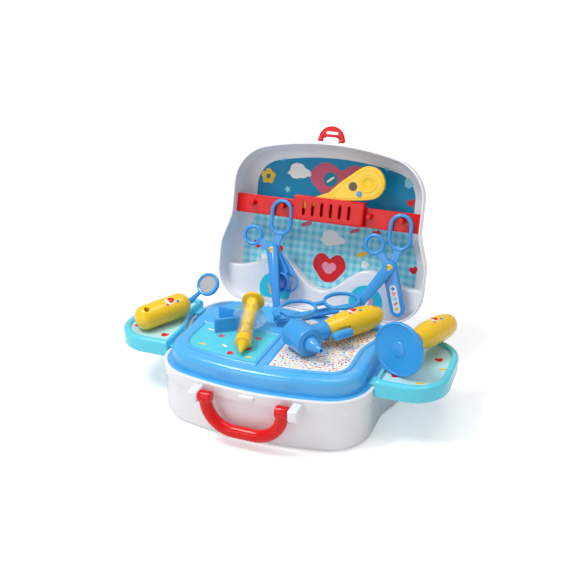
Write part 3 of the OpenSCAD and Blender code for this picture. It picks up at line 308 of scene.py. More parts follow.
def new_finish(name):
    """A new material, its node tree, its shader and the object's own coordinates."""
    material = bpy.data.materials.new(name)
    material.use_nodes = True
    tree = material.node_tree
    return material, tree, tree.nodes["Principled BSDF"], add_node(tree, "ShaderNodeTexCoord").outputs["Object"]


def feed(tree, shader, tint, gloss, bump):
    """Links the colour, the roughness and the bumps to the shader."""
    tree.links.new(tint.outputs[2], shader.inputs["Base Color"])
    tree.links.new(gloss.outputs[0], shader.inputs["Roughness"])
    tree.links.new(bump.outputs["Normal"], shader.inputs["Normal"])


def moulded(name, colour, dark, rough=0.22, wave=0.03, coat=0.35):
    """Glossy injection-moulded plastic. A slow cloud of 25 mm shifts the colour a little, a 4 mm waviness and a
    0.5 mm grain lie in the surface, and rubbing marks of 9 mm change how glossy it is."""
    material, tree, shader, where = new_finish(name)
    cloud = add_node(tree, "ShaderNodeTexNoise", {"Vector": where, "Scale": 40.0, "Detail": 3.0})
    tint = add_node(tree, "ShaderNodeMix", {"Factor": cloud.outputs["Fac"], 6: linear(dark), 7: linear(colour)},
                    data_type="RGBA")
    rub = add_node(tree, "ShaderNodeTexNoise", {"Vector": where, "Scale": 110.0, "Detail": 5.0, "Roughness": 0.7})
    gloss = add_node(tree, "ShaderNodeMapRange", {0: rub.outputs["Fac"], 3: rough - 0.03, 4: rough + 0.04})
    slow = add_node(tree, "ShaderNodeTexNoise", {"Vector": where, "Scale": 250.0, "Detail": 1.0})
    fine = add_node(tree, "ShaderNodeTexNoise", {"Vector": where, "Scale": 2000.0, "Detail": 2.0})
    bump = add_node(tree, "ShaderNodeBump", {"Strength": wave, "Distance": 0.0004, "Height": slow.outputs["Fac"]})
    bump = add_node(tree, "ShaderNodeBump", {"Strength": 0.02, "Distance": 0.0001, "Height": fine.outputs["Fac"],
                                             "Normal": bump.outputs["Normal"]})
    feed(tree, shader, tint, gloss, bump)
    shader.inputs["IOR"].default_value = 1.5
    shader.inputs["Coat Weight"].default_value = coat
    shader.inputs["Coat Roughness"].default_value = 0.06
    return material


white_abs = moulded("abs_white_gloss_moulded", "#f2f2f5", "#eeeef2", rough=0.26, wave=0.01)

shell_profile = np.concatenate([
    turned((7.2, 6.0), 6.0, 270, 180, 8),
    [[1.6, 30.0], [1.4, 45.9], [1.3, 46.2]],
    turned((0.7, 46.9), 0.7, 240, 180, 4),
    [[0.0, 52.0]],
    turned((0.9, 57.1), 0.9, 180, 90, 5),
    turned((3.2, 57.4), 0.6, 90, 0, 3),
    [[3.8, 55.2], [3.9, 55.0], [6.8, 55.0], [6.8, 52.0], [3.6, 52.0], [3.7, 14.0]],
    turned((9.6, 8.6), 6.0, 180, 270, 6),
])
shell = capped(stack(on_base, case_loop, shell_profile), (0, -10))
grids = [shell]
for side in (-1, 1):
    for k in (-1, 1):
        grids.append(rod(KNUCKLE_R, KNUCKLE_L, at=(side * HINGE_X + k * (KNUCKLE_L + 0.4), HALF_D, BASE_H)))
    x0 = side * 52.5 - 5
    grids.append(block((x0, HANDLE_Y - 6, HANDLE_Z - 6), (x0 + 10, -94, HANDLE_Z + 6), 1.6))
grids.append(block((-8, -HALF_D - 2.4, 50.2), (8, -95, 54.5), 0.7))
base_shell = surface("base_shell_moulding", "base", grids, [white_abs], ("base_shell",))
for side in (-1, 1):
    bore = rod(3.1, 9.5, 0.1, 32, at=(side * 51.75, HANDLE_Y, HANDLE_Z))
    cut(base_shell, bore)

# ---- hinge pins ----
# Two bare steel pins, cut from drawn wire and pushed through the knuckles of both halves.


def drawn_steel(name, colour, rough):
    """Drawn steel: fine marks of 0.3 mm that run with the wire, and a slow change of gloss."""
    material, tree, shader, where = new_finish(name)
    stretch = add_node(tree, "ShaderNodeMapping", {"Vector": where, "Scale": (120.0, 3000.0, 3000.0)})
    marks = add_node(tree, "ShaderNodeTexNoise", {"Vector": stretch.outputs[0], "Scale": 1.0, "Detail": 3.0})
    tint = add_node(tree, "ShaderNodeMix", {"Factor": marks.outputs["Fac"], 6: linear(colour), 7: linear("#9c9ea2")},
                    data_type="RGBA")
    gloss = add_node(tree, "ShaderNodeMapRange", {0: marks.outputs["Fac"], 3: rough - 0.05, 4: rough + 0.1})
    bump = add_node(tree, "ShaderNodeBump", {"Strength": 0.1, "Distance": 0.0001, "Height": marks.outputs["Fac"]})
    feed(tree, shader, tint, gloss, bump)
    shader.inputs["Metallic"].default_value = 1.0
    return material


pin_steel = drawn_steel("steel_wire_drawn", "#c9cacd", 0.3)
pins = [rod(1.2, 33.8, 0.3, at=(side * HINGE_X, HALF_D, BASE_H)) for side in (-1, 1)]
surface("hinge_pin_wires", "base", pins, [pin_steel], ("hinge_pins",))

# ---- handle ----
# A red bow of round section with two straight ends, moulded in one with its pivot pins.
HANDLE_HALF, HANDLE_DROP, HANDLE_BEND, HANDLE_R = 40.5, 33.5, 30.0, 6.5


def tube(path, r, n=28, ends=True, across=None, flat=1.0):
    """Grid of a round tube: circles of radius r square to the path, turned so that one axis stays near 'across'.
    flat squeezes the section along that axis. Closed ends are half round."""
    path = np.array(path, float)
    closed = not ends
    ahead = np.roll(path, -1, 0) - np.roll(path, 1, 0) if closed else np.gradient(path, axis=0)
    ahead /= np.linalg.norm(ahead, axis=1)[:, None]
    across = np.array((0, 0, 1.0) if across is None else across, float)
    side = np.cross(ahead, across)
    side /= np.linalg.norm(side, axis=1)[:, None]
    up = np.cross(side, ahead)
    v = np.linspace(0, 2 * np.pi, n, endpoint=False)[None, :, None]
    ring = side[:, None] * np.cos(v) + up[:, None] * np.sin(v) * flat
    grid = path[:, None] + r * ring
    if closed:
        return grid
    k = np.radians([90, 75, 60, 45, 30, 15])[:, None, None]
    first = path[0] - ahead[0] * r * np.sin(k) + ring[0] * r * np.cos(k)
    last = path[-1] + ahead[-1] * r * np.sin(k) + ring[-1] * r * np.cos(k)
    return np.concatenate([first, grid, last[::-1]])


red_abs = moulded("abs_red_gloss_moulded", "#e60d11", "#db070c", rough=0.17, coat=0.1)
red_abs.node_tree.nodes["Principled BSDF"].inputs["Specular IOR Level"].default_value = 0.3
leg = HANDLE_DROP - HANDLE_BEND
right = np.concatenate([[[HANDLE_HALF, -leg + 2.0]],
                        turned((HANDLE_HALF - HANDLE_BEND, -leg), HANDLE_BEND, 0, -90, 20)])
bow = np.concatenate([right, right[::-1] * (-1, 1)])
bow = np.column_stack([bow[:, 0], np.full(len(bow), HANDLE_Y), HANDLE_Z + bow[:, 1]])
grids = [tube(bow, HANDLE_R, across=(0, 1, 0))]
for side in (-1, 1):
    grids.append(rod(HANDLE_R, 13.0, 1.6, at=(side * HANDLE_HALF, HANDLE_Y, HANDLE_Z)))
    grids.append(rod(3.0, 14.0, 0.4, at=(side * 49.0, HANDLE_Y, HANDLE_Z)))
surface("carry_handle", "handle", grids, [red_abs], ("handle",))

# ---- deck insert ----
# The blue cover of the base: one thin moulding with a flat flange under the rim, a raised table with a
# round edge, and a soft bead round each of its two pads.
DECK_Z, FLANGE_Z, SHELF_Z, DECK_INSET, DECK_REAR, DECK_CORNER = 76.0, 57.6, 55.0, 9.5, 34.0, 32.0
deck_abs = moulded("abs_deck_blue_gloss_moulded", "#58bbf6", "#4eb2f2", rough=0.17)


def deck_loop(k):
    """Outline of the raised table, k inside it: round rear corners, straight sides, then the case's front arcs."""
    x = FRONT_HALF - DECK_INSET - k
    rear = turned((x - DECK_CORNER + k, DECK_REAR + DECK_CORNER), DECK_CORNER - k, -90, 0, 16)
    front = front_arcs(DECK_INSET + k)
    sides = np.column_stack([np.full(25, x), np.linspace(DECK_REAR + DECK_CORNER, front[0, 1], 25)])
    return mirrored(np.concatenate([rear, sides, front]))


def inset(loop, d):
    """The loop moved inward by d along its own normals, from the difference of its neighbours."""
    ahead = np.roll(loop, -1, 0) - np.roll(loop, 1, 0)
    ahead /= np.linalg.norm(ahead, axis=1)[:, None]
    area = np.sum(loop[:, 0] * np.roll(loop[:, 1], -1) - np.roll(loop[:, 0], -1) * loop[:, 1])
    return loop + d * np.sign(area) * np.stack([-ahead[:, 1], ahead[:, 0]], 1)


def resampled(loop, step=1.0):
    """The same closed loop with points a step apart, so that its normals are even."""
    ends = np.concatenate([loop, loop[:1]])
    gone = np.concatenate([[0], np.cumsum(np.linalg.norm(np.diff(ends, axis=0), axis=1))])
    keep = np.concatenate([[True], np.diff(gone) > 1e-9])
    s = np.linspace(0, gone[-1], int(gone[-1] / step), endpoint=False)
    return np.stack([np.interp(s, gone[keep], ends[keep, i]) for i in (0, 1)], 1)


def softened(loop, r):
    """The loop with its corners rounded: each point becomes the mean of its neighbours within r / 2, twice."""
    n = max(int(r / 2), 1)
    for _ in range(2):
        loop = sum(np.roll(loop, k, 0) for k in range(-n, n + 1)) / (2 * n + 1)
    return loop


table_profile = np.concatenate([
    [[2.2, SHELF_Z], [0.0, SHELF_Z], [0.0, FLANGE_Z - 0.3]],
    [[0.0, FLANGE_Z + 1.0], [0.1, 64.0]],
    turned((7.1, DECK_Z - 7), 7.0, 180, 90, 10),
])
under_profile = [[7.1, DECK_Z - 2.2], [4.0, DECK_Z - 3.2], [2.4, 68.0], [2.2, SHELF_Z + 0.2]]
table = stack(on_base, deck_loop, np.concatenate([under_profile, table_profile]))
flange_out = [(4.3, SHELF_Z), (4.1, SHELF_Z + 0.2), (4.1, FLANGE_Z - 0.3), (4.4, FLANGE_Z)]
flange_in = [(0.4, FLANGE_Z), (0.4, SHELF_Z)]
flange = np.concatenate([stack(on_base, case_loop, flange_out), stack(on_base, deck_loop, flange_in)])
grids = [capped(table, (0, 0)), (flange, True, True, 0)]

PAD_EDGE, BEAD_W, BEAD_H, LEFT_PAD_S, RIGHT_PAD_S = 22.5, 5.0, 1.8, 98.0, 53.0


def pad_loop(side):
    """Outer edge of a pad's bead as (x, s): the case's outline cut by two straight edges, with softened corners."""
    s0, x0 = (LEFT_PAD_S, 1.5) if side < 0 else (RIGHT_PAD_S, 6.5)
    edge = resampled(case_loop(PAD_EDGE))
    edge = edge[(edge[:, 1] > s0) & (edge[:, 0] * side > x0 * side)]
    order = np.argsort(np.arctan2(edge[:, 1] - 100, edge[:, 0] * side - 40))
    edge = edge[order]
    corner = np.array([[x0, s0]])
    return softened(resampled(np.concatenate([edge, corner])), 3)


bead = np.concatenate([[[0.0, -0.3]], [[0.25, 0.7], [0.8, 1.3], [1.6, 1.7], [2.5, BEAD_H], [3.4, 1.7], [4.2, 1.3],
                                       [4.8, 0.7]], [[5.0, -0.3]]])
pads = {side: pad_loop(side) for side in (-1, 1)}
for side, edge in pads.items():
    grids.append((stack(on_base, lambda g, e=edge: inset(e, g), bead + (0, DECK_Z)), True, True, 0))
surface("deck_cover", "base", grids, [deck_abs],
        ("deck_insert", "left_pad_bead", "right_pad_bead"))

# ---- printed sheets of the deck ----
# Paper labels under clear film, laid in the two pads: cyan on the left, white with coloured dashes on the
# right, both with loose patterns of plain shapes. The inks lie 0.03 mm proud of the sheet.


def paper_sheet(name, colour, dark, rough=0.3):
    """Printed paper under film: paper fibres of 0.8 mm and faint 3 mm unevenness of the ink, half glossy."""
    material, tree, shader, where = new_finish(name)
    fibre = add_node(tree, "ShaderNodeTexNoise", {"Vector": where, "Scale": 1200.0, "Detail": 4.0})
    cloud = add_node(tree, "ShaderNodeTexNoise", {"Vector": where, "Scale": 60.0, "Detail": 3.0})
    mixed = add_node(tree, "ShaderNodeMath", {0: fibre.outputs["Fac"], 1: cloud.outputs["Fac"]}, operation="MULTIPLY")
    tint = add_node(tree, "ShaderNodeMix", {"Factor": mixed.outputs[0], 6: linear(colour), 7: linear(dark)},
                    data_type="RGBA")
    gloss = add_node(tree, "ShaderNodeMapRange", {0: cloud.outputs["Fac"], 3: rough - 0.05, 4: rough + 0.1})
    bump = add_node(tree, "ShaderNodeBump", {"Strength": 0.04, "Distance": 0.0001, "Height": fibre.outputs["Fac"]})
    feed(tree, shader, tint, gloss, bump)
    shader.inputs["Specular IOR Level"].default_value = 0.2
    return material


def finish_node(node, material):
    """Gives a carried-over solid its finish."""
    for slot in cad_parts[node].material_slots:
        slot.material = material


INKS = {
    "white": paper_sheet("ink_white_on_label", "#f6f6f4", "#ecebe8"),
    "red": paper_sheet("ink_red_on_label", "#e5232b", "#c9161f"),
    "yellow": paper_sheet("ink_yellow_on_label", "#ffce2e", "#f2b81c"),
    "blue": paper_sheet("ink_blue_on_label", "#2c86d8", "#1d6fc0"),
    "teal": paper_sheet("ink_teal_on_label", "#1b8aa6", "#14758f"),
    "pink": paper_sheet("ink_pink_on_label", "#f2a0b4", "#e58aa2"),
    "rose": paper_sheet("ink_rose_on_label", "#d4617c", "#c4506d"),
    "cyan": paper_sheet("ink_cyan_on_label", "#8fdcec", "#74cfe4"),
}
INK_NAMES = list(INKS)


def motif_radius(kind, a, w=0.34):
    """Radius of a printed shape at angle a, within 1: star and flower are waves of 5, the heart has a dent at
    the top and flat sides, the cross and the capsule are made of bars of half width w."""
    c, s = np.abs(np.cos(a)), np.abs(np.sin(a))
    if kind == "star":
        return 0.74 + 0.26 * np.cos(5 * (a - np.pi / 2)) ** 3
    if kind == "flower":
        return 0.72 + 0.28 * np.abs(np.cos(2.5 * (a - np.pi / 2)))
    if kind == "cloud":
        return (0.62 + 0.3 * np.abs(np.cos(1.5 * a + 0.4)) * (0.75 + 0.25 * c)) * np.where(np.sin(a) < -0.3, 0.75, 1)
    if kind == "heart":
        turn = (a - np.pi / 2 + np.pi) % (2 * np.pi) - np.pi
        return 0.98 - 0.5 * np.exp(-((turn / 0.4) ** 2)) - 0.16 * np.exp(-(((np.abs(turn) - 2.2) / 0.5) ** 2))
    if kind == "cross":
        return np.minimum(np.maximum(np.minimum(1 / (c + 1e-6), w / (s + 1e-6)),
                                     np.minimum(w / (c + 1e-6), 1 / (s + 1e-6))), 1.06)
    if kind == "capsule":
        end = (1 - w) * c + np.sqrt(np.maximum(w**2 - (1 - w) ** 2 * s**2, 0))
        return np.where(w * c < (1 - w) * s, w / (s + 1e-6), end)
    return np.ones_like(a)


def motif(place, kind, ink, at, size, angle=0.0, wide=1.0, w=0.34, hole=0.0, n=48, rows=3, lift=0.03):
    """Grid of one printed shape: rows from the middle (or from the hole's edge) out to size * radius(angle)."""
    a = np.linspace(0, 2 * np.pi, n, endpoint=False)
    k = np.linspace(hole, 1, rows)[:, None]
    r = size * motif_radius(kind, a, w) * k
    x, y = r * np.cos(a) * wide, r * np.sin(a)
    c, s = math.cos(math.radians(angle)), math.sin(math.radians(angle))
    points = place(at[0] + x * c - y * s, at[1] + x * s + y * c, lift)
    return points, False, True, INK_NAMES.index(ink)


def print_motifs(name, body, grids):
    """One printed pattern as one piece that carries all inks."""
    return surface(name, body, grids, list(INKS.values()), closed=False, sharp=180)


def flat(z):
    """Place on a level sheet at height z, seen from above: (u, v) is (x, y)."""
    return lambda u, v, lift: np.stack([u, v, np.full_like(u, z + lift)], -1)


def inside(loop, points, margin):
    """Whether each point lies inside the loop and at least the margin away from it, by counting crossings."""
    a, b = loop, np.roll(loop, -1, 0)
    x, y = points[:, :1], points[:, 1:]
    across = (a[:, 1] > y) != (b[:, 1] > y)
    span = np.where(b[:, 1] == a[:, 1], 1e-9, b[:, 1] - a[:, 1])
    hit = across & (x < a[:, 0] + (y - a[:, 1]) * (b[:, 0] - a[:, 0]) / span)
    near = np.sqrt(((points[:, None] - loop[None]) ** 2).sum(-1)).min(1)
    return (hit.sum(1) % 2 == 1) & (near > margin)


def spread(loop, count, apart, margin, rng):
    """Random spots inside the loop, each at least 'apart' from the others."""
    low, high = loop.min(0), loop.max(0)
    spots = []
    tries = low + rng.random((count * 30, 2)) * (high - low)
    for spot in tries[inside(loop, tries, margin)]:
        if len(spots) < count and all((spot[0] - q[0]) ** 2 + (spot[1] - q[1]) ** 2 > apart**2 for q in spots):
            spots.append(spot)
    return np.array(spots)


PAD_Z = 76.6
finish_node("left_pad_print", paper_sheet("label_paper_cyan_under_film", "#5fd3ea", "#4cc8e2"))
finish_node("right_pad_print", paper_sheet("label_paper_white_under_film", "#f5f5f3", "#e9eaec"))
rng = np.random.default_rng(7)
sheet = inset(pads[1], BEAD_W + 0.5) * (1, -1) + (0, HALF_D)
grids = []
dashes = ("red", "yellow", "cyan", "pink", "yellow", "blue")
for i, (x, y) in enumerate(spread(sheet, 900, 3.4, 2.0, rng)):
    grids.append(motif(flat(PAD_Z), "capsule", dashes[i % 6], (x, y), 2.0, float(rng.uniform(0, 180)), w=0.38, n=12,
                       rows=2))
print_motifs("right_pad_inks", "base", grids)

sheet = inset(pads[-1], BEAD_W + 0.5) * (1, -1) + (0, HALF_D)
grids = []
for i, (x, y) in enumerate(spread(sheet, 14, 17.0, 7.0, rng)):
    kind, ink = (("heart", "red"), ("capsule", "white"), ("capsule", "yellow"), ("heart", "rose"))[i % 4]
    grids.append(motif(flat(PAD_Z), kind, ink, (x, y), 4.0, float(rng.uniform(-35, 35)), w=0.36))
print_motifs("left_pad_inks", "base", grids)

# ---- lid shell ----
# The white upper half of the case, open and leaning back. One thin moulding in the same ABS as the base:
# a rounded tray with a straight band at its rim, and two raised arches inside that are hollow behind.
HINGE = np.array((0.0, HALF_D, BASE_H))
LEAN = math.radians(180 - 105.5)
UP, OUT = np.array((0, math.cos(LEAN), math.sin(LEAN))), np.array((0, -math.sin(LEAN), math.cos(LEAN)))
LID = np.column_stack([(1, 0, 0), UP, -OUT])
TOWARD = np.column_stack([OUT, (1, 0, 0), UP])
LID_INSET = 17.4


def in_lid(x, s, t):
    """Points of the open lid: x across, s up from the hinge, t back from the rim, turned about the hinge."""
    return placed(np.stack(np.broadcast_arrays(x, s, np.asarray(t, float)), -1), HINGE, LID)


def on_lid(loop, t):
    """A loop in (x, s) at depth t of the lid."""
    return in_lid(loop[:, 0], loop[:, 1], t)


def arch(x):
    """Height of the arches at x: a cosine wave from the valley at 0 to the top at 56, then down to the sides."""
    a = np.abs(x)
    inner = 38.5 - 15.5 * np.cos(np.pi * a / 56)
    outer = 47 + 7 * np.cos(np.pi * np.minimum((a - 56) / (CASE_HALF - LID_INSET - 56), 1))
    return np.where(a < 56, inner, outer)


def wall_mid(t):
    """Middle of the lid's wall at depth t: 4.2 down to 23, then the quarter arc 18.2 - 14 sqrt(1 - ((t - 23) / 14)^2)."""
    return np.where(t < 23, 4.2, 18.2 - 14 * np.sqrt(np.clip(1 - ((t - 23) / 14) ** 2, 0, 1)))


lid_profile = np.concatenate([
    turned((17.1, 24.0), 14.0, 90, 180, 14),
    [[1.9, 16.0], [1.5, 11.2], [1.2, 10.6]],
    turned((0.9, 10.0), 0.6, 90, 180, 3),
    turned((1.2, 1.2), 0.9, 180, 270, 4),
    turned((1.9, 1.0), 0.7, 270, 360, 4),
    [[2.6, 9.0], [4.0, 15.0]],
    turned((19.4, 21.4), 14.0, 180, 90, 14),
])
shell = capped(stack(on_lid, case_loop, lid_profile))
edge_arc = turned((0, 0), 3.0, 0, 90, 6)
t_col = np.concatenate([np.full(5, 18.0), 21 - edge_arc[:, 0], [29.0, 36.0], np.linspace(36, 18, 9)[:-1]])
w_col = np.concatenate([[0, 0.25, 0.5, 0.75, 0.95], np.ones(9), np.zeros(8)])
drop = np.concatenate([np.full(5, 3.0), 3 - edge_arc[:, 1], np.zeros(10)])
x_row = np.sin(np.linspace(-np.pi / 2, np.pi / 2, 121))[:, None] * (CASE_HALF - wall_mid(t_col))
g_col = wall_mid(t_col)
out = np.maximum(np.abs(x_row) - (CASE_HALF - REAR_R), 0)
low = REAR_R - np.sqrt(np.maximum((REAR_R - g_col) ** 2 - out**2, 0))
s_row = low + w_col * (arch(x_row) - drop - low)
arches = capped(in_lid(x_row, s_row, t_col))
grids = [shell, arches]
lid_shell = surface("lid_shell_moulding", "lid", grids, [white_abs], ("lid_shell",))
for side in (-1, 1):
    x = np.linspace(14.0, 105.6, 60)[:, None]
    s = np.concatenate([x * 0 + 19.4, x * 0 + 19.4, arch(x) - 2.6, arch(x) - 2.6], 1)
    hollow = capped(in_lid(side * x, s, np.array([39.0, 20.6, 20.6, 39.0])))
    cut(lid_shell, hollow)
for side in (-1, 1):
    for k in (-1, 1):
        notch = rod(3.1, 11.8, at=HINGE + (side * HINGE_X + k * 11.4, 0, 0))
        cut(lid_shell, notch)
    notch = rod(3.1, 11.8, at=HINGE + (side * HINGE_X, 0, 0))
    cut(base_shell, notch)
grids = [rod(KNUCKLE_R, KNUCKLE_L, at=HINGE + (side * HINGE_X, 0, 0)) for side in (-1, 1)]
grids.append(block((-9.3, 192.0, 1.7), (9.3, 197.0, 6.3), 0.5, at=HINGE, turn=LID))
grids.append(rod(2.3, 18.6, at=HINGE + LID @ (0, 197.4, 4.0)))
surface("lid_knuckles_and_bracket", "lid", grids, [white_abs], ("lid_shell",))

# ---- printed sheets of the lid ----
# The backdrop behind the rack: deep teal above and a pale check below, with a pink cloud, a yellow flower
# and a small badge, and two round turquoise labels on the arches. Printed paper under film again.


def backdrop_paper():
    """Teal above s = 118 mm and checks of 4.5 mm below: s = (y - 97) cos a + (z - 58) sin a for the lid's lean a."""
    material = paper_sheet("label_paper_teal_and_check", "#0b8fbe", "#0883b2")
    tree = material.node_tree
    shader = tree.nodes["Principled BSDF"]
    plain = shader.inputs["Base Color"].links[0].from_socket
    where = add_node(tree, "ShaderNodeTexCoord").outputs["Object"]
    axes = add_node(tree, "ShaderNodeSeparateXYZ", {"Vector": where})
    along = add_node(tree, "ShaderNodeVectorMath", {0: where, 1: tuple(UP)}, operation="DOT_PRODUCT").outputs["Value"]
    stripes = []
    for socket in (axes.outputs["X"], along):
        turns = add_node(tree, "ShaderNodeMath", {0: socket, 1: 1 / 0.009}, operation="MULTIPLY")
        part = add_node(tree, "ShaderNodeMath", {0: turns.outputs[0]}, operation="FRACT")
        stripes.append(add_node(tree, "ShaderNodeMath", {0: part.outputs[0], 1: 0.5}, operation="GREATER_THAN"))
    both = add_node(tree, "ShaderNodeMath", {0: stripes[0].outputs[0], 1: stripes[1].outputs[0]}, operation="ADD")
    half = add_node(tree, "ShaderNodeMath", {0: both.outputs[0], 1: 0.5}, operation="MULTIPLY")
    check = add_node(tree, "ShaderNodeMix", {"Factor": half.outputs[0], 6: linear("#b0e8f2"), 7: linear("#66cde2")},
                     data_type="RGBA")
    level = float(HINGE @ UP) * 0.001 + 0.118
    upper = add_node(tree, "ShaderNodeMath", {0: along, 1: level}, operation="GREATER_THAN")
    print_colour = add_node(tree, "ShaderNodeMix", {"Factor": upper.outputs[0], 6: check.outputs[2], 7: plain},
                            data_type="RGBA")
    tree.links.new(print_colour.outputs[2], shader.inputs["Base Color"])
    return material


def lid_sheet(t):
    """Place on a sheet of the lid at depth t: (u, v) is (x, s)."""
    return lambda u, v, lift: in_lid(u, v, t - lift)


finish_node("lid_backdrop", backdrop_paper())
BACKDROP_T, DOME_T = 34.8, 17.4
sheet = lid_sheet(BACKDROP_T)
grids = [
    motif(sheet, "heart", "rose", (6, 151), 26, wide=1.5),
    motif(sheet, "flower", "yellow", (-84, 148), 9.5),
    motif(sheet, "disc", "teal", (-84, 148), 3, lift=0.06),
    motif(sheet, "disc", "teal", (-6, 152), 8.5, lift=0.06),
    motif(sheet, "capsule", "white", (-6, 152), 5.5, 40, w=0.22, lift=0.09),
    motif(sheet, "cloud", "white", (-46, 156), 13, wide=1.35),
    motif(sheet, "heart", "red", (3, 50), 19.5, wide=1.1, n=96),
    motif(sheet, "heart", "pink", (3, 49), 8, wide=1.15, lift=0.06),
    motif(sheet, "cloud", "white", (3, 82), 13, wide=1.4),
]
for x, s, kind, ink, size in (
    (-58, 135, "star", "cyan", 4), (-66, 170, "capsule", "cyan", 3.4), (92, 136, "heart", "red", 5),
    (88, 157, "cloud", "cyan", 8), (60, 172, "star", "cyan", 4), (30, 96, "capsule", "rose", 6),
    (56, 96, "heart", "red", 5), (-30, 97, "capsule", "rose", 7), (-62, 62, "heart", "red", 6),
    (-90, 66, "heart", "red", 6), (-80, 50, "cloud", "white", 6), (42, 70, "capsule", "yellow", 7),
    (46, 58, "cloud", "white", 6), (70, 50, "capsule", "rose", 7), (104, 60, "heart", "red", 5),
):
    grids.append(motif(sheet, kind, ink, (x, s), size, 20.0))
print_motifs("backdrop_inks", "lid", grids)

for side, node in ((-1, "left_dome_print"), (1, "right_dome_print")):
    finish_node(node, paper_sheet("label_paper_turquoise_%s" % node.split("_")[0], "#35cbe4", "#28bfd9"))
grids = []
for side in (-1, 1):
    sheet = lid_sheet(DOME_T)
    grids.append(motif(sheet, "flower", "yellow" if side < 0 else "pink", (side * 56, 18), 9.5, lift=0.05))
    grids.append(motif(sheet, "disc", "white", (side * 56, 18), 4.2, lift=0.08))
print_motifs("dome_inks", "lid", grids)

# ---- tool rack ----
# A red moulding across the lid: a flat bar with four pegs and a shallow pocket with six narrow slots. Its
# bar snaps into the lid's side walls.
bar = block((-110.9, 104.0, 10.0), (110.9, 126.0, 13.0), 0.7, at=HINGE, turn=LID)
pocket = block((-37.2, 104.0, 1.0), (46.8, 132.0, 12.9), 1.1, n=4, at=HINGE, turn=LID)
rack = surface("tool_rack_moulding", "lid", [bar, pocket], [red_abs],
               ("tool_rack",))
room = block((-35.2, 106.0, 3.0), (44.8, 140.0, 10.0), 0.5, at=HINGE, turn=LID)
cut(rack, room)
for i in range(6):
    x = 2.8 + (i - 2.5) * 10.8
    loop = np.concatenate([turned((x, 124.2), 1.8, 0, 180, 10), turned((x, 111.8), 1.8, 180, 360, 10)])
    gap = capped(np.stack([on_lid(loop, t) for t in (-1.0, 2.0, 5.0)]))
    cut(rack, gap)
peg = np.concatenate([[[-10.4, 3.6], [-10.0, 3.5], [-9.4, 3.0]], turned((-3.5, 2.0), 1.0, 90, 0, 5), [[-2.5, 0]]])
grids = [lathe(np.concatenate([[[-10.4, 0]], peg]), HINGE + LID @ (x, 117.0, 0), TOWARD, 40)
         for x in (-90.0, -52.4, 52.4, 90.0)]
surface("tool_rack_pegs", "lid", grids, [red_abs], ("tool_rack",))

# ---- latch ----
# A red half-round flap that turns on a steel pin in the lid's bracket and snaps over the catch of the base.
LATCH_S, LATCH_HALF = 197.4, 15.6
LATCH_AT = HINGE + LID @ (0, LATCH_S, 4.0)
half_disc = np.concatenate([turned((0, LATCH_S), LATCH_HALF, 0, 180, 40), [
    [-LATCH_HALF, LATCH_S], [-10.0, LATCH_S], [-10.0, 200.4], [10.0, 200.4], [10.0, LATCH_S]]])
half_disc = resampled(half_disc, 0.8)
rows = [(1.0, 2.25), (0.45, 2.4), (0.12, 2.75), (0.0, 3.2), (0.0, 4.8), (0.12, 5.25), (0.45, 5.6), (1.0, 5.75)]
flap = capped(np.stack([on_lid(inset(half_disc, d), t) for d, t in rows]))
latch = surface("latch_flap_moulding", "latch", [flap], [red_abs], ("latch_flap",))
ends = np.concatenate([turned((6.2, 205.2), 1.3, -90, 90, 10), turned((-6.2, 205.2), 1.3, 90, 270, 10)])
gap = capped(np.stack([on_lid(ends, t) for t in (0.0, 4.0, 8.0)]))
cut(latch, gap)
grids = [rod(2.6, 5.6, 0.5, at=LATCH_AT + (side * 12.8, 0, 0)) for side in (-1, 1)]
surface("latch_legs", "latch", grids, [red_abs], ("latch_flap",))
surface("latch_pin_wire", "lid", [rod(1.2, 30.2, 0.3, at=LATCH_AT)], [pin_steel], ("latch_pin",))

# ---- side trays ----
# Two turquoise trays with a soft rolled lip, a shallow bed and an open underside, each moulded in one with
# the two flat hooks that hang over the rim of the base. A pale printed sheet lies in each bed.
TRAY_TOP, TRAY_LOW, TRAY_FLOOR, TRAY_R = 67.0, 50.0, 63.0, 38.0
tray_abs = moulded("abs_turquoise_gloss_moulded", "#62dcf2", "#57d5ec", rough=0.17)


def tray_loop(d, inner):
    """Outline of the right tray, d inside it: rounded outer corners, and an inner edge that keeps 'inner' from the
    case's own outline and follows its waist."""
    lo, hi, r = 31.0 + d, 144.0 - d, TRAY_R - d
    outer = np.concatenate([turned((182 - d - r, lo + r), r, -90, 0, 20), turned((182 - d - r, hi - r), r, 0, 90, 20)])
    edge = case_loop(-0.4 - inner)
    edge = edge[(edge[:, 0] > 60) & (edge[:, 1] > lo - 40) & (edge[:, 1] < hi + 40)]
    order = np.argsort(edge[:, 1])
    s = np.linspace(hi, lo, 60)
    return np.concatenate([outer, np.column_stack([np.interp(s, edge[order, 1], edge[order, 0]), s])])


def tray_ring(side, d, inner, z):
    """Ring of a tray at height z, with points of even spacing."""
    loop = resampled(tray_loop(d, inner), 2.0)
    return on_base(loop * (side, 1), z)


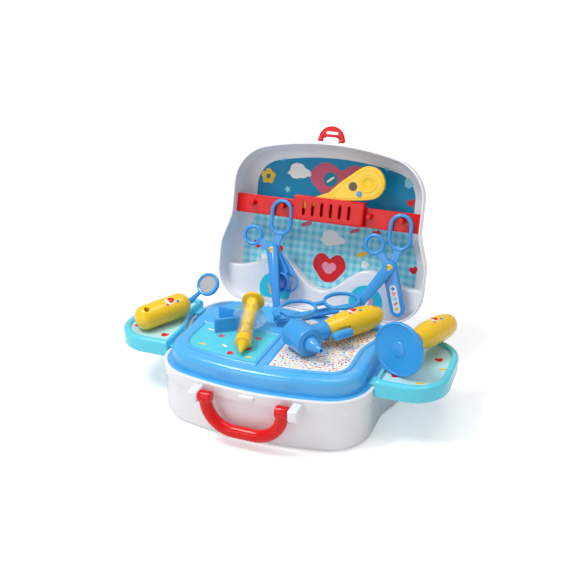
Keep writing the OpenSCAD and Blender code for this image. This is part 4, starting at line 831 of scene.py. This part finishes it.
lip = turned((3.0, TRAY_TOP - 3), 3.0, 180, 90, 6)
rows = [(d, d, z) for d, z in [(2.2, TRAY_LOW), (0.5, TRAY_LOW), (0.1, TRAY_LOW + 0.3), (0.0, 56.0)] + lip.tolist()]
rows += [(6.2, 2.9, TRAY_TOP), (6.8, 3.2, TRAY_TOP - 0.3), (7.0, 3.3, TRAY_TOP - 0.9), (7.0, 3.3, TRAY_FLOOR + 0.5)]
bed = [(7.6, 3.9, TRAY_FLOOR), (20, 12, TRAY_FLOOR)]
under = [(20, 12, 60.8), (3.4, 3.4, 60.8), (2.5, 2.5, 59.9)]
for side, body, word in ((-1, "left_tray", "left"), (1, "right_tray", "right")):
    count = min(len(tray_ring(side, d, i, z)) for d, i, z in rows + bed + under)
    at = np.array((side * 150, 9.5))

    def even(d, i, z, n=count):
        """The ring with exactly n points, so that rings of any inset join."""
        ring = tray_ring(side, d, i, z)
        pick = np.linspace(0, len(ring), n, endpoint=False)
        low = pick.astype(int)
        part = (pick - low)[:, None]
        return ring[low] * (1 - part) + ring[(low + 1) % len(ring)] * part

    outside = np.stack([even(*row) for row in rows + bed[:1]])
    inside_rows = np.stack([even(*row) for row in under[1:]])
    centre = np.array([at[0], at[1], TRAY_FLOOR])
    k = np.linspace(1, 0, 7)[:, None, None]
    top_fill = centre + (outside[-1] - centre) * k
    centre = np.array([at[0], at[1], 60.8])
    low_fill = centre + (inside_rows[0] - centre) * k[::-1]
    grid = np.concatenate([low_fill, inside_rows[1:], outside, top_fill[1:]])
    grids = [grid]
    for s, edge in ((130.0, 114.0), (48.0, 125.0)):
        y = HALF_D - s
        for lo, hi in (((edge - 6.7, y - 8, 58.3), (edge + 2.6, y + 8, 60.5)),
                       ((edge - 6.7, y - 8, 55.3), (edge - 4.5, y + 8, 58.7))):
            xs = sorted((side * lo[0], side * hi[0]))
            grids.append(block((xs[0], lo[1], lo[2]), (xs[1], hi[1], hi[2]), 0.5))
    surface(word + "_tray_moulding", body, grids, [tray_abs], (word + "_tray",))
    finish_node(word + "_tray_print", paper_sheet("label_paper_pale_" + word, "#bfe9f0", "#ade0ea"))
    rng = np.random.default_rng(11 + side)
    sheet = (tray_loop(7.5, 3.8) * (side, -1)) + (0, HALF_D)
    marks = []
    for i, (x, y) in enumerate(spread(sheet, 12, 20.0, 7.0, rng)):
        kind, ink = (("heart", "red"), ("capsule", "yellow"), ("cloud", "white"), ("heart", "rose"))[i % 4]
        marks.append(motif(flat(63.6), kind, ink, (x, y), 4.6, float(rng.uniform(-40, 40)), w=0.38))
    print_motifs(word + "_tray_inks", body, marks)

# ---- dental mirror ----
# A yellow two-part grip with a parting line and a hanging hole, a blue bent neck with a round frame, and a
# disc of silvered film in it. It lies on its side in the left tray.
yellow_abs = moulded("abs_yellow_gloss_moulded", "#ffd21f", "#fbc813", rough=0.2)
blue_abs = moulded("abs_tool_blue_gloss_moulded", "#3fa6ec", "#369de6", rough=0.17)
UPRIGHT = np.column_stack([(0, 0, 1), (1, 0, 0), (0, 1, 0)])
MIRROR_AT, MIRROR_TURN = np.array((-159.0, -30.0, 77.1)), turn_of(("z", 59), ("y", -3), ("x", 25))


def seamed(profile, at, turn, n=72, groove=0.22):
    """Grid of a body of revolution in two halves: r drops by groove * exp(-((v r) / 0.3)^2) along its parting line."""
    profile = np.array(profile, float)
    near = np.array([-0.09, -0.05, -0.025, 0, 0.025, 0.05, 0.09])
    v = np.sort(np.concatenate([np.linspace(0.14, np.pi - 0.14, n // 2), np.linspace(np.pi + 0.14, 2 * np.pi - 0.14,
                                n // 2), near, near + np.pi]))[None, :]
    a, r = profile[:, :1], profile[:, 1:]
    off = (v + 0.5 * np.pi) % np.pi - 0.5 * np.pi
    r = np.maximum(r - groove * np.exp(-((off * r / 0.3) ** 2)) * (r > 1), 0)
    points = np.stack([a + 0 * v, r * np.cos(v), r * np.sin(v)], -1)
    return placed(points, at, turn)


def grip_profile(start, length, neck, r):
    """Rows (a, r) of a grip: u below 0.38 swells as sin from the neck to r, then r sqrt(1 - ((u - 0.38) / 0.62)^4)."""
    u = np.concatenate([np.linspace(0, 0.9, 34), 1 - 0.1 * np.cos(np.linspace(0.1, np.pi / 2, 12))])
    swell = neck + (r - neck) * np.sin(np.pi / 2 * u / 0.38)
    taper = r * np.sqrt(np.maximum(1 - np.maximum((u - 0.38) / 0.62, 0) ** 4, 0))
    rows = np.column_stack([start + u * length, np.where(u < 0.38, swell, taper)])
    return np.concatenate([[[start, 0], [start, neck - 0.5], [start + 0.15, neck - 0.15]], rows[1:]])


def on_grip(rows, at, turn, a, v):
    """Place on a grip's skin round the point (a, v): along the axis by u, round it by w / r, lift above the skin."""
    rows = np.array(rows, float)

    def place(u, w, lift):
        r = np.interp(a + u, rows[:, 0], rows[:, 1])
        turn_by = math.radians(v) + w / r
        return placed(np.stack([a + u, (r + lift) * np.cos(turn_by), (r + lift) * np.sin(turn_by)], -1), at, turn)

    return place


def grip_print(name, body, place):
    """The small printed pattern near the top of a grip: a heart, a cloud and two dots."""
    grids = [motif(place, "cloud", "white", (-1, 0), 6.6, 90, wide=1.2),
             motif(place, "heart", "red", (0, -1), 4.2, 90, lift=0.06),
             motif(place, "disc", "blue", (6.5, 3.5), 1.7, lift=0.06),
             motif(place, "disc", "rose", (-6.5, 3.5), 1.5, lift=0.06)]
    print_motifs(name, body, grids)


def hang_hole(piece, at, turn, a, r=3.2):
    """Bores the hanging hole through a grip."""
    rows = np.array([[-20, r], [20, r]])
    bore = lathe(np.concatenate([[[-20, 0]], rows, [[20, 0]]]), at + turn @ np.array((a, 0, 0)), turn @ UPRIGHT, 40)
    cut(piece, bore)


butt = np.column_stack([11.04 * (1 - np.cos(np.linspace(0, np.pi / 2, 16))),
                        13.8 * np.sin(np.linspace(0, np.pi / 2, 16))])
nose = np.linspace(0, math.acos(7.8 / 13.8), 14)
nose = np.column_stack([65 - 11.04 + 11.04 * np.sin(nose) / math.sin(nose[-1]), 13.8 * np.cos(nose)])
body = np.concatenate([butt, np.column_stack([np.linspace(14, 51, 12), np.full(12, 13.8)]), nose, [[65, 0]]])
grip = surface("mirror_grip", "dental_mirror", [seamed(body, MIRROR_AT, MIRROR_TURN)],
               [yellow_abs], ("mirror_grip_top", "mirror_grip_bottom"))
hang_hole(grip, MIRROR_AT, MIRROR_TURN, 11.0)
grip_print("mirror_grip_ink", "dental_mirror", on_grip(body, MIRROR_AT, MIRROR_TURN, 42.0, 90.0))

bent = MIRROR_TURN @ turn_of(("y", -42))
elbow = MIRROR_AT + MIRROR_TURN @ (69, 0, 0)
cuff = [[65, 0], [65, 6.6], [65.4, 6.8], [66.5, 5.6], [67.8, 4.2], [69, 3.5], [70.2, 3.1], [71, 0]]
neck = [[-1.5, 0], [-1.5, 3.1], [0, 3.4], [4, 3.1], [9, 2.7], [13, 2.45], [15.2, 2.4], [15.2, 0]]
rim = np.concatenate([[[-2.5, 0]], turned((12.6, -1.7), 0.8, 270, 360, 4)[:, ::-1],
                      turned((12.6, 1.7), 0.8, 0, 90, 4)[:, ::-1], [[2.5, 10.9], [2.2, 10.45], [0.0, 10.3], [0, 0]]])
grids = [lathe(cuff, MIRROR_AT, MIRROR_TURN, 40), lathe(neck, elbow, bent, 40),
         lathe(rim, elbow + bent @ (28, 0, 0), bent @ UPRIGHT, 72)]
surface("mirror_frame_moulding", "dental_mirror", grids, [blue_abs], ("mirror_frame",))

# The silvered film is near white and only half metal, so half of it shows as plain white: a painted reflection of the
# bright studio.
film = drawn_steel("film_silvered_mirror_painted_white_reflection", "#f4f6f8", 0.1)
film.node_tree.nodes["Principled BSDF"].inputs["Metallic"].default_value = 0.45
finish_node("mirror_plate", film)

# ---- percussor ----
# A hammer for testing reflexes: a flat blue disc with a raised rim and a round boss, a flanged neck, and the
# same two-part yellow grip. It stands on the disc's edge in the right tray.
DISC_AT, DISC_TURN = np.array((129.9, -21.5, 92.23)), turn_of(("z", 71), ("y", 5))
rows = [[0, 0], [0, 6.4], [0.35, 7.3], [1.2, 8.0], [1.2, 25.0], [0.9, 25.6], [0.3, 26.1], [0.0, 26.6], [0.0, 27.0],
        [0.25, 27.6], [0.9, 28.0], [4.1, 28.0], [4.75, 27.6], [5.0, 26.9], [5.0, 15.0], [5.6, 13.4], [9.5, 10.8],
        [14.3, 8.1], [18.7, 8.0], [19.0, 8.4], [19.0, 10.1], [19.4, 10.5], [21.1, 10.5], [21.5, 10.1], [21.5, 8.4],
        [21.8, 8.0], [32.8, 8.0], [33.0, 0]]
surface("percussor_disc", "percussor", [lathe(rows, DISC_AT, DISC_TURN, 120)], [blue_abs],
        ("percussor_head",))
rows = grip_profile(33.0, 74.0, 9.5, 14.0)
grip = surface("percussor_grip", "percussor", [seamed(rows, DISC_AT, DISC_TURN)], [yellow_abs],
               ("percussor_grip_top", "percussor_grip_bottom"))
hang_hole(grip, DISC_AT, DISC_TURN, 96.0)
grip_print("percussor_grip_ink", "percussor", on_grip(rows, DISC_AT, DISC_TURN, 68.0, 90.0))

# ---- syringe ----
# A yellow nozzle glued into a clear barrel with a finger flange, and a yellow plunger with a step in its rod
# and a thumb disc. The barrel is crystal polystyrene.
SYRINGE_AT, SYRINGE_TURN = np.array((-20.7, -63.0, 81.45)), turn_of(("z", 103), ("y", -16.5))


def clear_styrene():
    """Clear moulded polystyrene: IOR 1.5, a slight blue, and half open to straight light so that it stays bright."""
    material = moulded("polystyrene_clear_moulded", "#f6fcff", "#eef8fc", rough=0.1, wave=0.01, coat=0.0)
    shader = material.node_tree.nodes["Principled BSDF"]
    for link in list(shader.inputs["Roughness"].links):
        material.node_tree.links.remove(link)
    shader.inputs["Roughness"].default_value = 0.03
    shader.inputs["Transmission Weight"].default_value = 1.0
    shader.inputs["Alpha"].default_value = 0.42
    return material


clear_ps = clear_styrene()
rows = [[0, 0], [0, 1.1], [0.3, 1.4], [12.6, 5.9], [12.9, 6.3], [13.0, 8.0], [13.5, 8.6], [15.5, 8.6], [15.7, 8.3],
        [16.2, 8.3], [16.4, 8.6], [21.5, 8.6], [22.0, 8.2], [22.0, 7.9], [21.8, 7.7], [19, 7.7], [19, 0]]
surface("syringe_nozzle_moulding", "syringe", [lathe(rows, SYRINGE_AT, SYRINGE_TURN)],
        [yellow_abs], ("syringe_nozzle",))
rows = [[22, 7.75], [22, 8.8], [22.3, 9.0], [52.2, 9.0], [52.8, 9.3], [53.0, 10.0], [53.0, 17.1], [53.3, 17.5],
        [54.7, 17.5], [55.0, 17.1], [55.0, 8.1], [54.6, 7.75]]
surface("syringe_barrel_moulding", "syringe", [(lathe(rows, SYRINGE_AT, SYRINGE_TURN), True, True, 0)],
        [clear_ps], ("syringe_barrel",))
rows = [[24, 0], [24, 7.1], [24.4, 7.6], [26.2, 7.6], [26.5, 7.1], [27.5, 7.1], [27.8, 7.6], [29.6, 7.6], [30, 7.1],
        [30, 4.9], [30.3, 4.6], [37.6, 4.6], [38, 5.0], [38, 6.2], [38.4, 6.6], [76.2, 6.6], [76.8, 6.9], [77, 7.4],
        [77, 11.6], [77.6, 12.3], [79.2, 12.3], [80, 11.5], [80, 9.5], [79.5, 9.0], [79.5, 0]]
surface("syringe_plunger_moulding", "plunger", [lathe(rows, SYRINGE_AT, SYRINGE_TURN)],
        [yellow_abs], ("syringe_plunger",))

# ---- forceps ----
# Blue tweezers moulded flat and stood on edge: a round spring and two springy arms with ribs for the fingers.
FORCEPS_AT, FORCEPS_LOW, FORCEPS_TOP = (-41.0, 2.0), 78.1, 92.2


def stadium(p, q, w, n=14):
    """Loop of a flat bar with round ends of width w from p to q."""
    p, q = np.array(p, float), np.array(q, float)
    a = math.degrees(math.atan2(q[1] - p[1], q[0] - p[0]))
    run = np.linspace(0, 1, 12)[1:-1, None]
    ends = turned(q, w / 2, a - 90, a + 90, n), turned(p, w / 2, a + 90, a + 270, n)
    return np.concatenate([ends[0], ends[0][-1] + (ends[1][0] - ends[0][-1]) * run,
                           ends[1], ends[1][-1] + (ends[0][0] - ends[1][-1]) * run])


def prism(loop, lo, hi, edge, place, groove=0.0):
    """Grid of a plate from lo to hi with rounded rims: the loop drawn in by edge (1 - cos b) as it nears a face,
    with a fine groove half way up where it is made in two halves."""
    b = np.radians([90, 68, 45, 22, 0])
    rows = [(edge * (1 - math.cos(x)), lo + edge * (1 - math.sin(x))) for x in b]
    middle = (lo + hi) / 2
    if groove:
        rows += [(0, middle - 0.25), (groove, middle), (0, middle + 0.25)]
    rows += [(d, hi + lo - z) for d, z in rows[:5][::-1]]
    return capped(np.stack([place(inset(loop, d) if d > 0 else loop, z) for d, z in rows]))


def level(loop, z):
    """A loop in (x, y) at height z."""
    return np.column_stack([loop, np.full(len(loop), z)])


grids = []
section = np.concatenate([turned((5.4, FORCEPS_TOP - 0.6), 0.6, 0, 90, 4), turned((3.6, FORCEPS_TOP - 0.6), 0.6, 90,
                          180, 4), turned((3.6, FORCEPS_LOW + 0.6), 0.6, 180, 270, 4),
                          turned((5.4, FORCEPS_LOW + 0.6), 0.6, 270, 360, 4)])
grids.append((lathe(section[:, ::-1], (*FORCEPS_AT, 0), UPRIGHT, 48), True, True, 0))
for m in (-1, 1):
    turn = np.array(Matrix.Rotation(math.radians(197 + m * 21), 2))
    start, end = np.array((0, m * 4.5)), np.array((36.0, m * 4.5))
    to_deck = lambda p, t=turn: np.array(FORCEPS_AT) + p @ t.T
    bar = stadium(start, end, 2.96)
    grids.append(prism(to_deck(bar), FORCEPS_LOW + 0.05, FORCEPS_TOP - 0.05, 0.6, level))
    for k in range(4):
        x = 12 + 3.2 * k
        y = sorted((m * 5.6, m * 5.99))
        turn3 = turn_of(("z", 197 + m * 21))
        rib = block((x, y[0], FORCEPS_LOW + 1.5), (x + 1.4, y[1], FORCEPS_TOP - 1.5), 0.18, at=(*FORCEPS_AT, 0),
                    turn=turn3)
        grids.append(rib)
surface("forceps_moulding", "forceps", grids, [blue_abs], ("forceps",))

# ---- glasses ----
# A blue toy frame without lenses, folded, with its two temples hinged on pins behind the frame.
GLASSES_AT, GLASSES_TURN = np.array((23.0, 54.0, 90.05)), turn_of(("z", 43), ("x", 4))


def on_frame(loop, z):
    """A loop in the plane of the glasses' frame at height z above its middle."""
    return placed(level(loop, z), GLASSES_AT, GLASSES_TURN)


grids = []
for side in (-1, 1):
    a = np.linspace(0, 2 * np.pi, 72, endpoint=False)[:, None]
    b = np.linspace(0, 2 * np.pi, 24, endpoint=False)[None, :]
    across = 1.8 - 1.8 * np.sign(np.cos(b)) * np.abs(np.cos(b)) ** 0.6
    z = 2.0 * np.sign(np.sin(b)) * np.abs(np.sin(b)) ** 0.6
    points = np.stack([side * 26 + (21.5 - across) * np.cos(a), (18.5 - across) * np.sin(a), z + 0 * a], -1)
    grids.append((placed(points, GLASSES_AT, GLASSES_TURN), True, True, 0))
    grids.append(prism(stadium((side * 46, 0), (side * 52.4, 0), 6.9), -1.9, 1.9, 0.7, on_frame))
    y = side * 3.4
    grids.append(block((side * 52.5 - 3.4, y - 5.6, -1.95), (side * 52.5 + 3.4, y + 5.6, 1.95), 0.7,
                        at=GLASSES_AT, turn=GLASSES_TURN))
    for k in (-1, 1):
        grids.append(block((side * 52.5 - 1.5, y + k * 4.2 - 1, -10), (side * 52.5 + 1.5, y + k * 4.2 + 1, 0), 0.3,
                            at=GLASSES_AT, turn=GLASSES_TURN))
        across_y = GLASSES_TURN @ turn_of(("z", 90))
        grids.append(rod(1.5, 2.0, 0.25, 28, at=GLASSES_AT + GLASSES_TURN @ (side * 52.5, y + k * 4.2, -10),
                          turn=across_y))
grids.append(prism(stadium((-5.8, 3), (5.8, 3), 4.9), -1.85, 1.85, 0.8, on_frame))
surface("glasses_frame", "glasses", grids, [blue_abs], ("glasses_front",))
for side, name in ((-1, "left_temple"), (1, "right_temple")):
    y = side * 3.4
    x = sorted((side * 52.5, side * (52.5 - 74)))
    at = GLASSES_AT + GLASSES_TURN @ (side * 52.5, y, -10)
    arm = block((x[0], y - 3, -11.5), (x[1], y + 3, -8.5), 0.9, n=4, at=GLASSES_AT, turn=GLASSES_TURN)
    grids = [arm, rod(1.5, 6, 0.3, 28, at=at, turn=across_y),
             rod(0.9, 10.4, 0.2, 20, at=at, turn=across_y)]
    surface(name + "_moulding", name, grids, [blue_abs], (name,))

# ---- otoscope ----
# An ear lamp: a blue drum of a head with a pale cone that looks out to one side, a flanged neck, a two-part
# yellow grip and a blue push button in the grip's side.
OTO_AT, OTO_TURN = np.array((33.0, -30.0, 92.3)), turn_of(("z", 54))
SIDEWAYS = OTO_TURN @ np.column_stack([(0, -1, 0), (1, 0, 0), (0, 0, 1)])
rows = [[-19, 0], [-19, 9.4], [-18.6, 10.2], [-16.0, 13.2], [-15.6, 14.2], [-15.2, 15.0], [-14.4, 15.4],
        [-9.0, 15.4], [-8.8, 15.15], [-8.3, 15.15], [-8.1, 15.4], [13.4, 15.4], [14.5, 15.1], [15.1, 14.3],
        [15.2, 13.2], [15.2, 12.4], [15.5, 12.0], [16.0, 11.6], [16.0, 8.7], [15.8, 8.2], [13.05, 8.08], [13.05, 0]]
neck = [[0, 0], [0, 9.5], [25.7, 9.5], [26.0, 9.8], [26.0, 10.1], [26.4, 10.5], [28.6, 10.5], [29, 10.1], [29, 0]]
grids = [lathe(rows, OTO_AT, SIDEWAYS, 88), lathe(neck, OTO_AT, OTO_TURN, 64)]
surface("otoscope_head_moulding", "otoscope", grids, [blue_abs], ("otoscope_head",))
rows = [[13.1, 0], [13.1, 7.9], [17.6, 8.0], [18.2, 7.7], [18.4, 7.1], [18.7, 6.9], [23.5, 5.7], [27.6, 4.1],
        [28.2, 3.5], [28.6, 3.3], [33.2, 2.9], [33.8, 2.6], [33.8, 1.8], [33.4, 1.5], [19.0, 1.5], [19.0, 0]]
surface("otoscope_cone", "otoscope", [lathe(rows, OTO_AT, SIDEWAYS, 56)],
        [blue_abs], ("otoscope_speculum",))
rows = grip_profile(29.0, 74.0, 9.5, 14.0)
grip = surface("otoscope_grip", "otoscope", [seamed(rows, OTO_AT, OTO_TURN)], [yellow_abs],
               ("otoscope_grip_top", "otoscope_grip_bottom"))
grip_print("otoscope_grip_ink", "otoscope", on_grip(rows, OTO_AT, OTO_TURN, 64.0, 90.0))
hang_hole(grip, OTO_AT, OTO_TURN, 92.0)
slot_box = block((25.6, -30, -5.2), (51.4, -10.6, 5.2), 0.4, at=OTO_AT, turn=OTO_TURN)
cut(grip, slot_box)
stem_bore = rod(2.48, 12, 0.01, 32, at=OTO_AT + OTO_TURN @ (42.5, -7, 0), turn=SIDEWAYS)
cut(grip, stem_bore)
k = np.radians(np.linspace(0, 90, 9))
cap = np.column_stack([4.8 - 4.8 * np.cos(k), 4.8 * np.sin(k)])
rows = np.concatenate([cap, (cap * (-1, 1) + (25, 0))[::-1]]) + (26.0, 0)
grids = [lathe(rows, OTO_AT + OTO_TURN @ (0, -17, 0), OTO_TURN, 48),
         rod(2.4, 14.2, 0.3, 32, at=OTO_AT + OTO_TURN @ (42.5, -9.9, 0), turn=SIDEWAYS)]
surface("otoscope_button", "trigger", grids, [blue_abs], ("otoscope_trigger",))

# ---- ear clamp and scissors ----
# Two blue toy tools that hang from the rack's outer pegs by their long finger loops. Each is two flat arms
# that cross at a yellow cap: the clamp ends in two cups, the scissors in round-nosed blades.
LONG_T, FRONT_T, ARM_T = 7.3, 2.9, 3.6
hung_abs = moulded("abs_light_blue_gloss_moulded", "#3f9fea", "#3597e4", rough=0.2)


def loop_tube(centre, half_x, half_s, t, r=2.3):
    """Grid of a finger loop: a round tube along a stadium of half width half_x and half height half_s."""
    c, run = half_x - r, half_s - half_x
    path = np.concatenate([turned((0, run), c, 0, 180, 28), turned((0, -run), c, 180, 360, 28)])
    path = resampled(path, 1.5) + np.array(centre)
    return tube(on_lid(path, t), r, n=22, ends=False, across=OUT), True, True, 0


def plate(p, q, w, t, thick=ARM_T, edge=0.5):
    """Grid of a flat arm of width w from p to q, in the layer whose middle is t deep."""
    return prism(stadium(p, q, w), t - thick / 2, t + thick / 2, edge, on_lid)


def toward(p, q, d):
    """The point d away from p in the direction of q."""
    p, q = np.array(p, float), np.array(q, float)
    return p + (q - p) * d / np.linalg.norm(q - p)


def cup(at, profile):
    """Grid of a round cup of the clamp, seen from the front."""
    return lathe(profile, HINGE + LID @ (*at, 0.0), TOWARD, 56)


def cap_of(name, body, pivot, node):
    """The yellow cap and shank that hold two arms together."""
    rows = [[-9.1, 0], [-9.1, 2.2], [-8.9, 2.4], [-0.9, 2.4], [-0.9, 4.3], [-0.7, 4.6], [0.1, 4.55], [0.6, 4.1],
            [0.85, 3.2], [0.9, 2.2], [0.7, 1.9], [0.7, 0]]
    surface(name, body, [cup(pivot, rows)], [yellow_abs], (node,))


def pivot_bore(arm, pivot):
    """Bores a front arm for the shank of its cap."""
    bore = cup(pivot, [[-12, 0], [-12, 2.6], [3, 2.6], [3, 0]])
    cut(arm, bore)


def boss(pivot):
    """Grid of the raised ring on the front arm that surrounds the cap."""
    rows = [[-1.4, 5.0], [-0.6, 5.0], [-0.3, 5.3], [-0.3, 6.3], [-0.6, 6.9], [-1.4, 7.1]]
    return cup(pivot, rows), True, True, 0


pivot, ring_at, front_cup, rear_cup = (-58.0, 64.0), (-84.0, 79.0), (-43.0, 29.0), (-36.0, 29.0)
grids = [
    loop_tube((-52.4, 103.4), 14.0, 21.5, LONG_T),
    plate((-52.4, 84.2), pivot, 9.0, LONG_T),
    plate(pivot, pivot, 14.8, LONG_T, 3.5),
    plate(pivot, (-36.0, 41.0), 11.0, LONG_T, 3.4),
    (cup(rear_cup, [[-9.1, 10.1], [-9.1, 11.5], [-8.6, 12.0], [-6.0, 12.0], [-5.5, 11.5], [-5.5, 10.4],
                    [-5.8, 10.1]]), True, True, 0),
]
surface("clamp_rear_arm", "clamp", grids, [hung_abs], ("clamp_long_arm",))
grids = [
    (tube(on_lid(turned(ring_at, 10.3, 0, 360, 48)[:-1], FRONT_T), 2.3, n=22, ends=False, across=OUT), True, True, 0),
    plate(toward(ring_at, pivot, 11.4), pivot, 9.0, FRONT_T),
    plate(pivot, pivot, 14.8, FRONT_T, 3.5),
    plate(pivot, (-43.0, 41.0), 13.0, FRONT_T, 3.4),
    boss(pivot),
    cup(front_cup, [[-4.7, 0], [-4.7, 11.2], [-4.3, 11.8], [-3.8, 12.0], [5.2, 12.0], [5.5, 11.75], [5.9, 11.75],
                    [6.2, 12.0], [6.9, 12.0], [7.3, 11.7], [7.3, 11.0], [6.9, 10.7], [2.0, 9.4], [-2.4, 8.1],
                    [-2.7, 7.6], [-2.7, 0]]),
]
front_arm = surface("clamp_front_arm", "clamp_arm", grids, [hung_abs], ("clamp_round_arm",))
pivot_bore(front_arm, pivot)
cap_of("clamp_cap_moulding", "clamp", pivot, "clamp_cap")

pivot, ring_at, tip = (83.0, 63.0), (63.0, 87.0), (97.5, 17.5)
grids = [
    loop_tube((90.0, 103.4), 14.0, 21.5, LONG_T),
    plate((90.0, 84.2), pivot, 9.0, LONG_T),
    plate(pivot, pivot, 14.8, LONG_T, 3.5),
    plate(pivot, tip, 16.0, LONG_T, 3.4),
]
surface("scissors_rear_blade", "scissors", grids, [hung_abs], ("scissors_long_arm",))
blade = surface("scissors_front_blade", "scissors_arm", [plate(pivot, tip, 16.0, FRONT_T, 3.6, 0.8)], [hung_abs],
                ("scissors_round_arm",))
pivot_bore(blade, pivot)
window = stadium(tip, toward(tip, pivot, 24.6), 8.4)
window = capped(np.stack([on_lid(window, t) for t in (0.0, 1.2, 2.1)]))
cut(blade, window)
grids = [
    (tube(on_lid(turned(ring_at, 10.3, 0, 360, 48)[:-1], FRONT_T), 2.3, n=22, ends=False, across=OUT), True, True, 0),
    plate(toward(ring_at, pivot, 11.4), pivot, 9.0, FRONT_T, 3.5),
    plate(pivot, pivot, 14.8, FRONT_T, 3.45),
    boss(pivot),
]
round_handle = surface("scissors_round_handle", "scissors_arm", grids, [hung_abs],
                       ("scissors_round_arm",))
pivot_bore(round_handle, pivot)
cap_of("scissors_cap_moulding", "scissors", pivot, "scissors_cap")

finish_node("scissors_strip", paper_sheet("label_paper_white_strip", "#f4f4f2", "#e6e6e4"))
strip = lid_sheet(1.5)
grids = [motif(strip, kind, ink, toward(tip, pivot, d), 2.6, angle)
         for d, kind, ink, angle in ((1, "star", "yellow", 10), (7, "capsule", "red", 50), (12.5, "cross", "cyan", 15),
                                     (18.5, "heart", "pink", 0), (24, "star", "blue", 20))]
print_motifs("scissors_strip_inks", "scissors_arm", grids)

# ---- thermometer ----
# A yellow toy thermometer of two glued halves, tucked into the rack's pocket: a round head with a raised
# circle, a brown window, a blue button, and a flat stem.
THERMO_AT = HINGE + LID @ (48.0, 154.0, 6.5)
THERMO_TURN = np.column_stack([(1, 0, 0), UP, OUT]) @ turn_of(("z", 24))


def on_thermometer(loop, z):
    """A loop in the thermometer's own plane at height z toward the front."""
    return placed(level(loop, z), THERMO_AT, THERMO_TURN)


shoulder = np.array([[-9.5, 17.1], [-28.5, 11.78], [-47.5, 4.5], [-47.5, -4.5], [-28.5, -11.78], [-9.5, -17.1]])
head = softened(resampled(np.concatenate([turned((0, 0), 19.0, -90, 90, 40), shoulder]), 0.8), 6)
stem = stadium((-79.5, 0), (-40, 0), 9.0)
front = surface("thermometer_shell", "thermometer", [
    prism(head, -3.2, 3.2, 0.9, on_thermometer, 0.25)], [yellow_abs],
    ("thermometer_front", "thermometer_back"))
for place, r, low in (((-18.0, 2.0), 5.08, 2.0), ((-13.68, -7.98), 3.12, -0.2)):
    hole = capped(np.stack([on_thermometer(turned(place, r, 0, 360, 40)[:-1], z) for z in (low, 3.0, 5.0)]))
    cut(front, hole)
rows = [[3.1, 0], [3.1, 10.5], [3.55, 10.5], [3.8, 10.2], [3.8, 9.4], [3.45, 9.0], [3.45, 7.7], [3.75, 7.4],
        [3.75, 6.6], [3.45, 6.2], [3.45, 0]]
disc = lathe(rows, THERMO_AT, THERMO_TURN @ UPRIGHT, 64)
ridge = tube(on_thermometer(inset(head, 3.4), 3.1), 0.5, n=10, ends=False, across=OUT)
grids = [prism(stem, -2.2, 2.2, 0.8, on_thermometer, 0.2), disc,
         (ridge, True, True, 0)]
surface("thermometer_stem", "thermometer", grids, [yellow_abs], ("thermometer_front",
                                                                                  "thermometer_back"))
rows = [[1.2, 0], [1.2, 2.8], [1.4, 3.0], [4.3, 3.0], [4.75, 2.7], [4.95, 2.0], [5.0, 0]]
at = THERMO_AT + THERMO_TURN @ (-13.68, -7.98, 0)
surface("thermometer_button_moulding", "button", [lathe(rows, at, THERMO_TURN @ UPRIGHT, 36)],
        [blue_abs], ("thermometer_button",))
finish_node("thermometer_window", moulded("acrylic_brown_clear_moulded", "#5b3413", "#41230b", rough=0.12))
low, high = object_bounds()
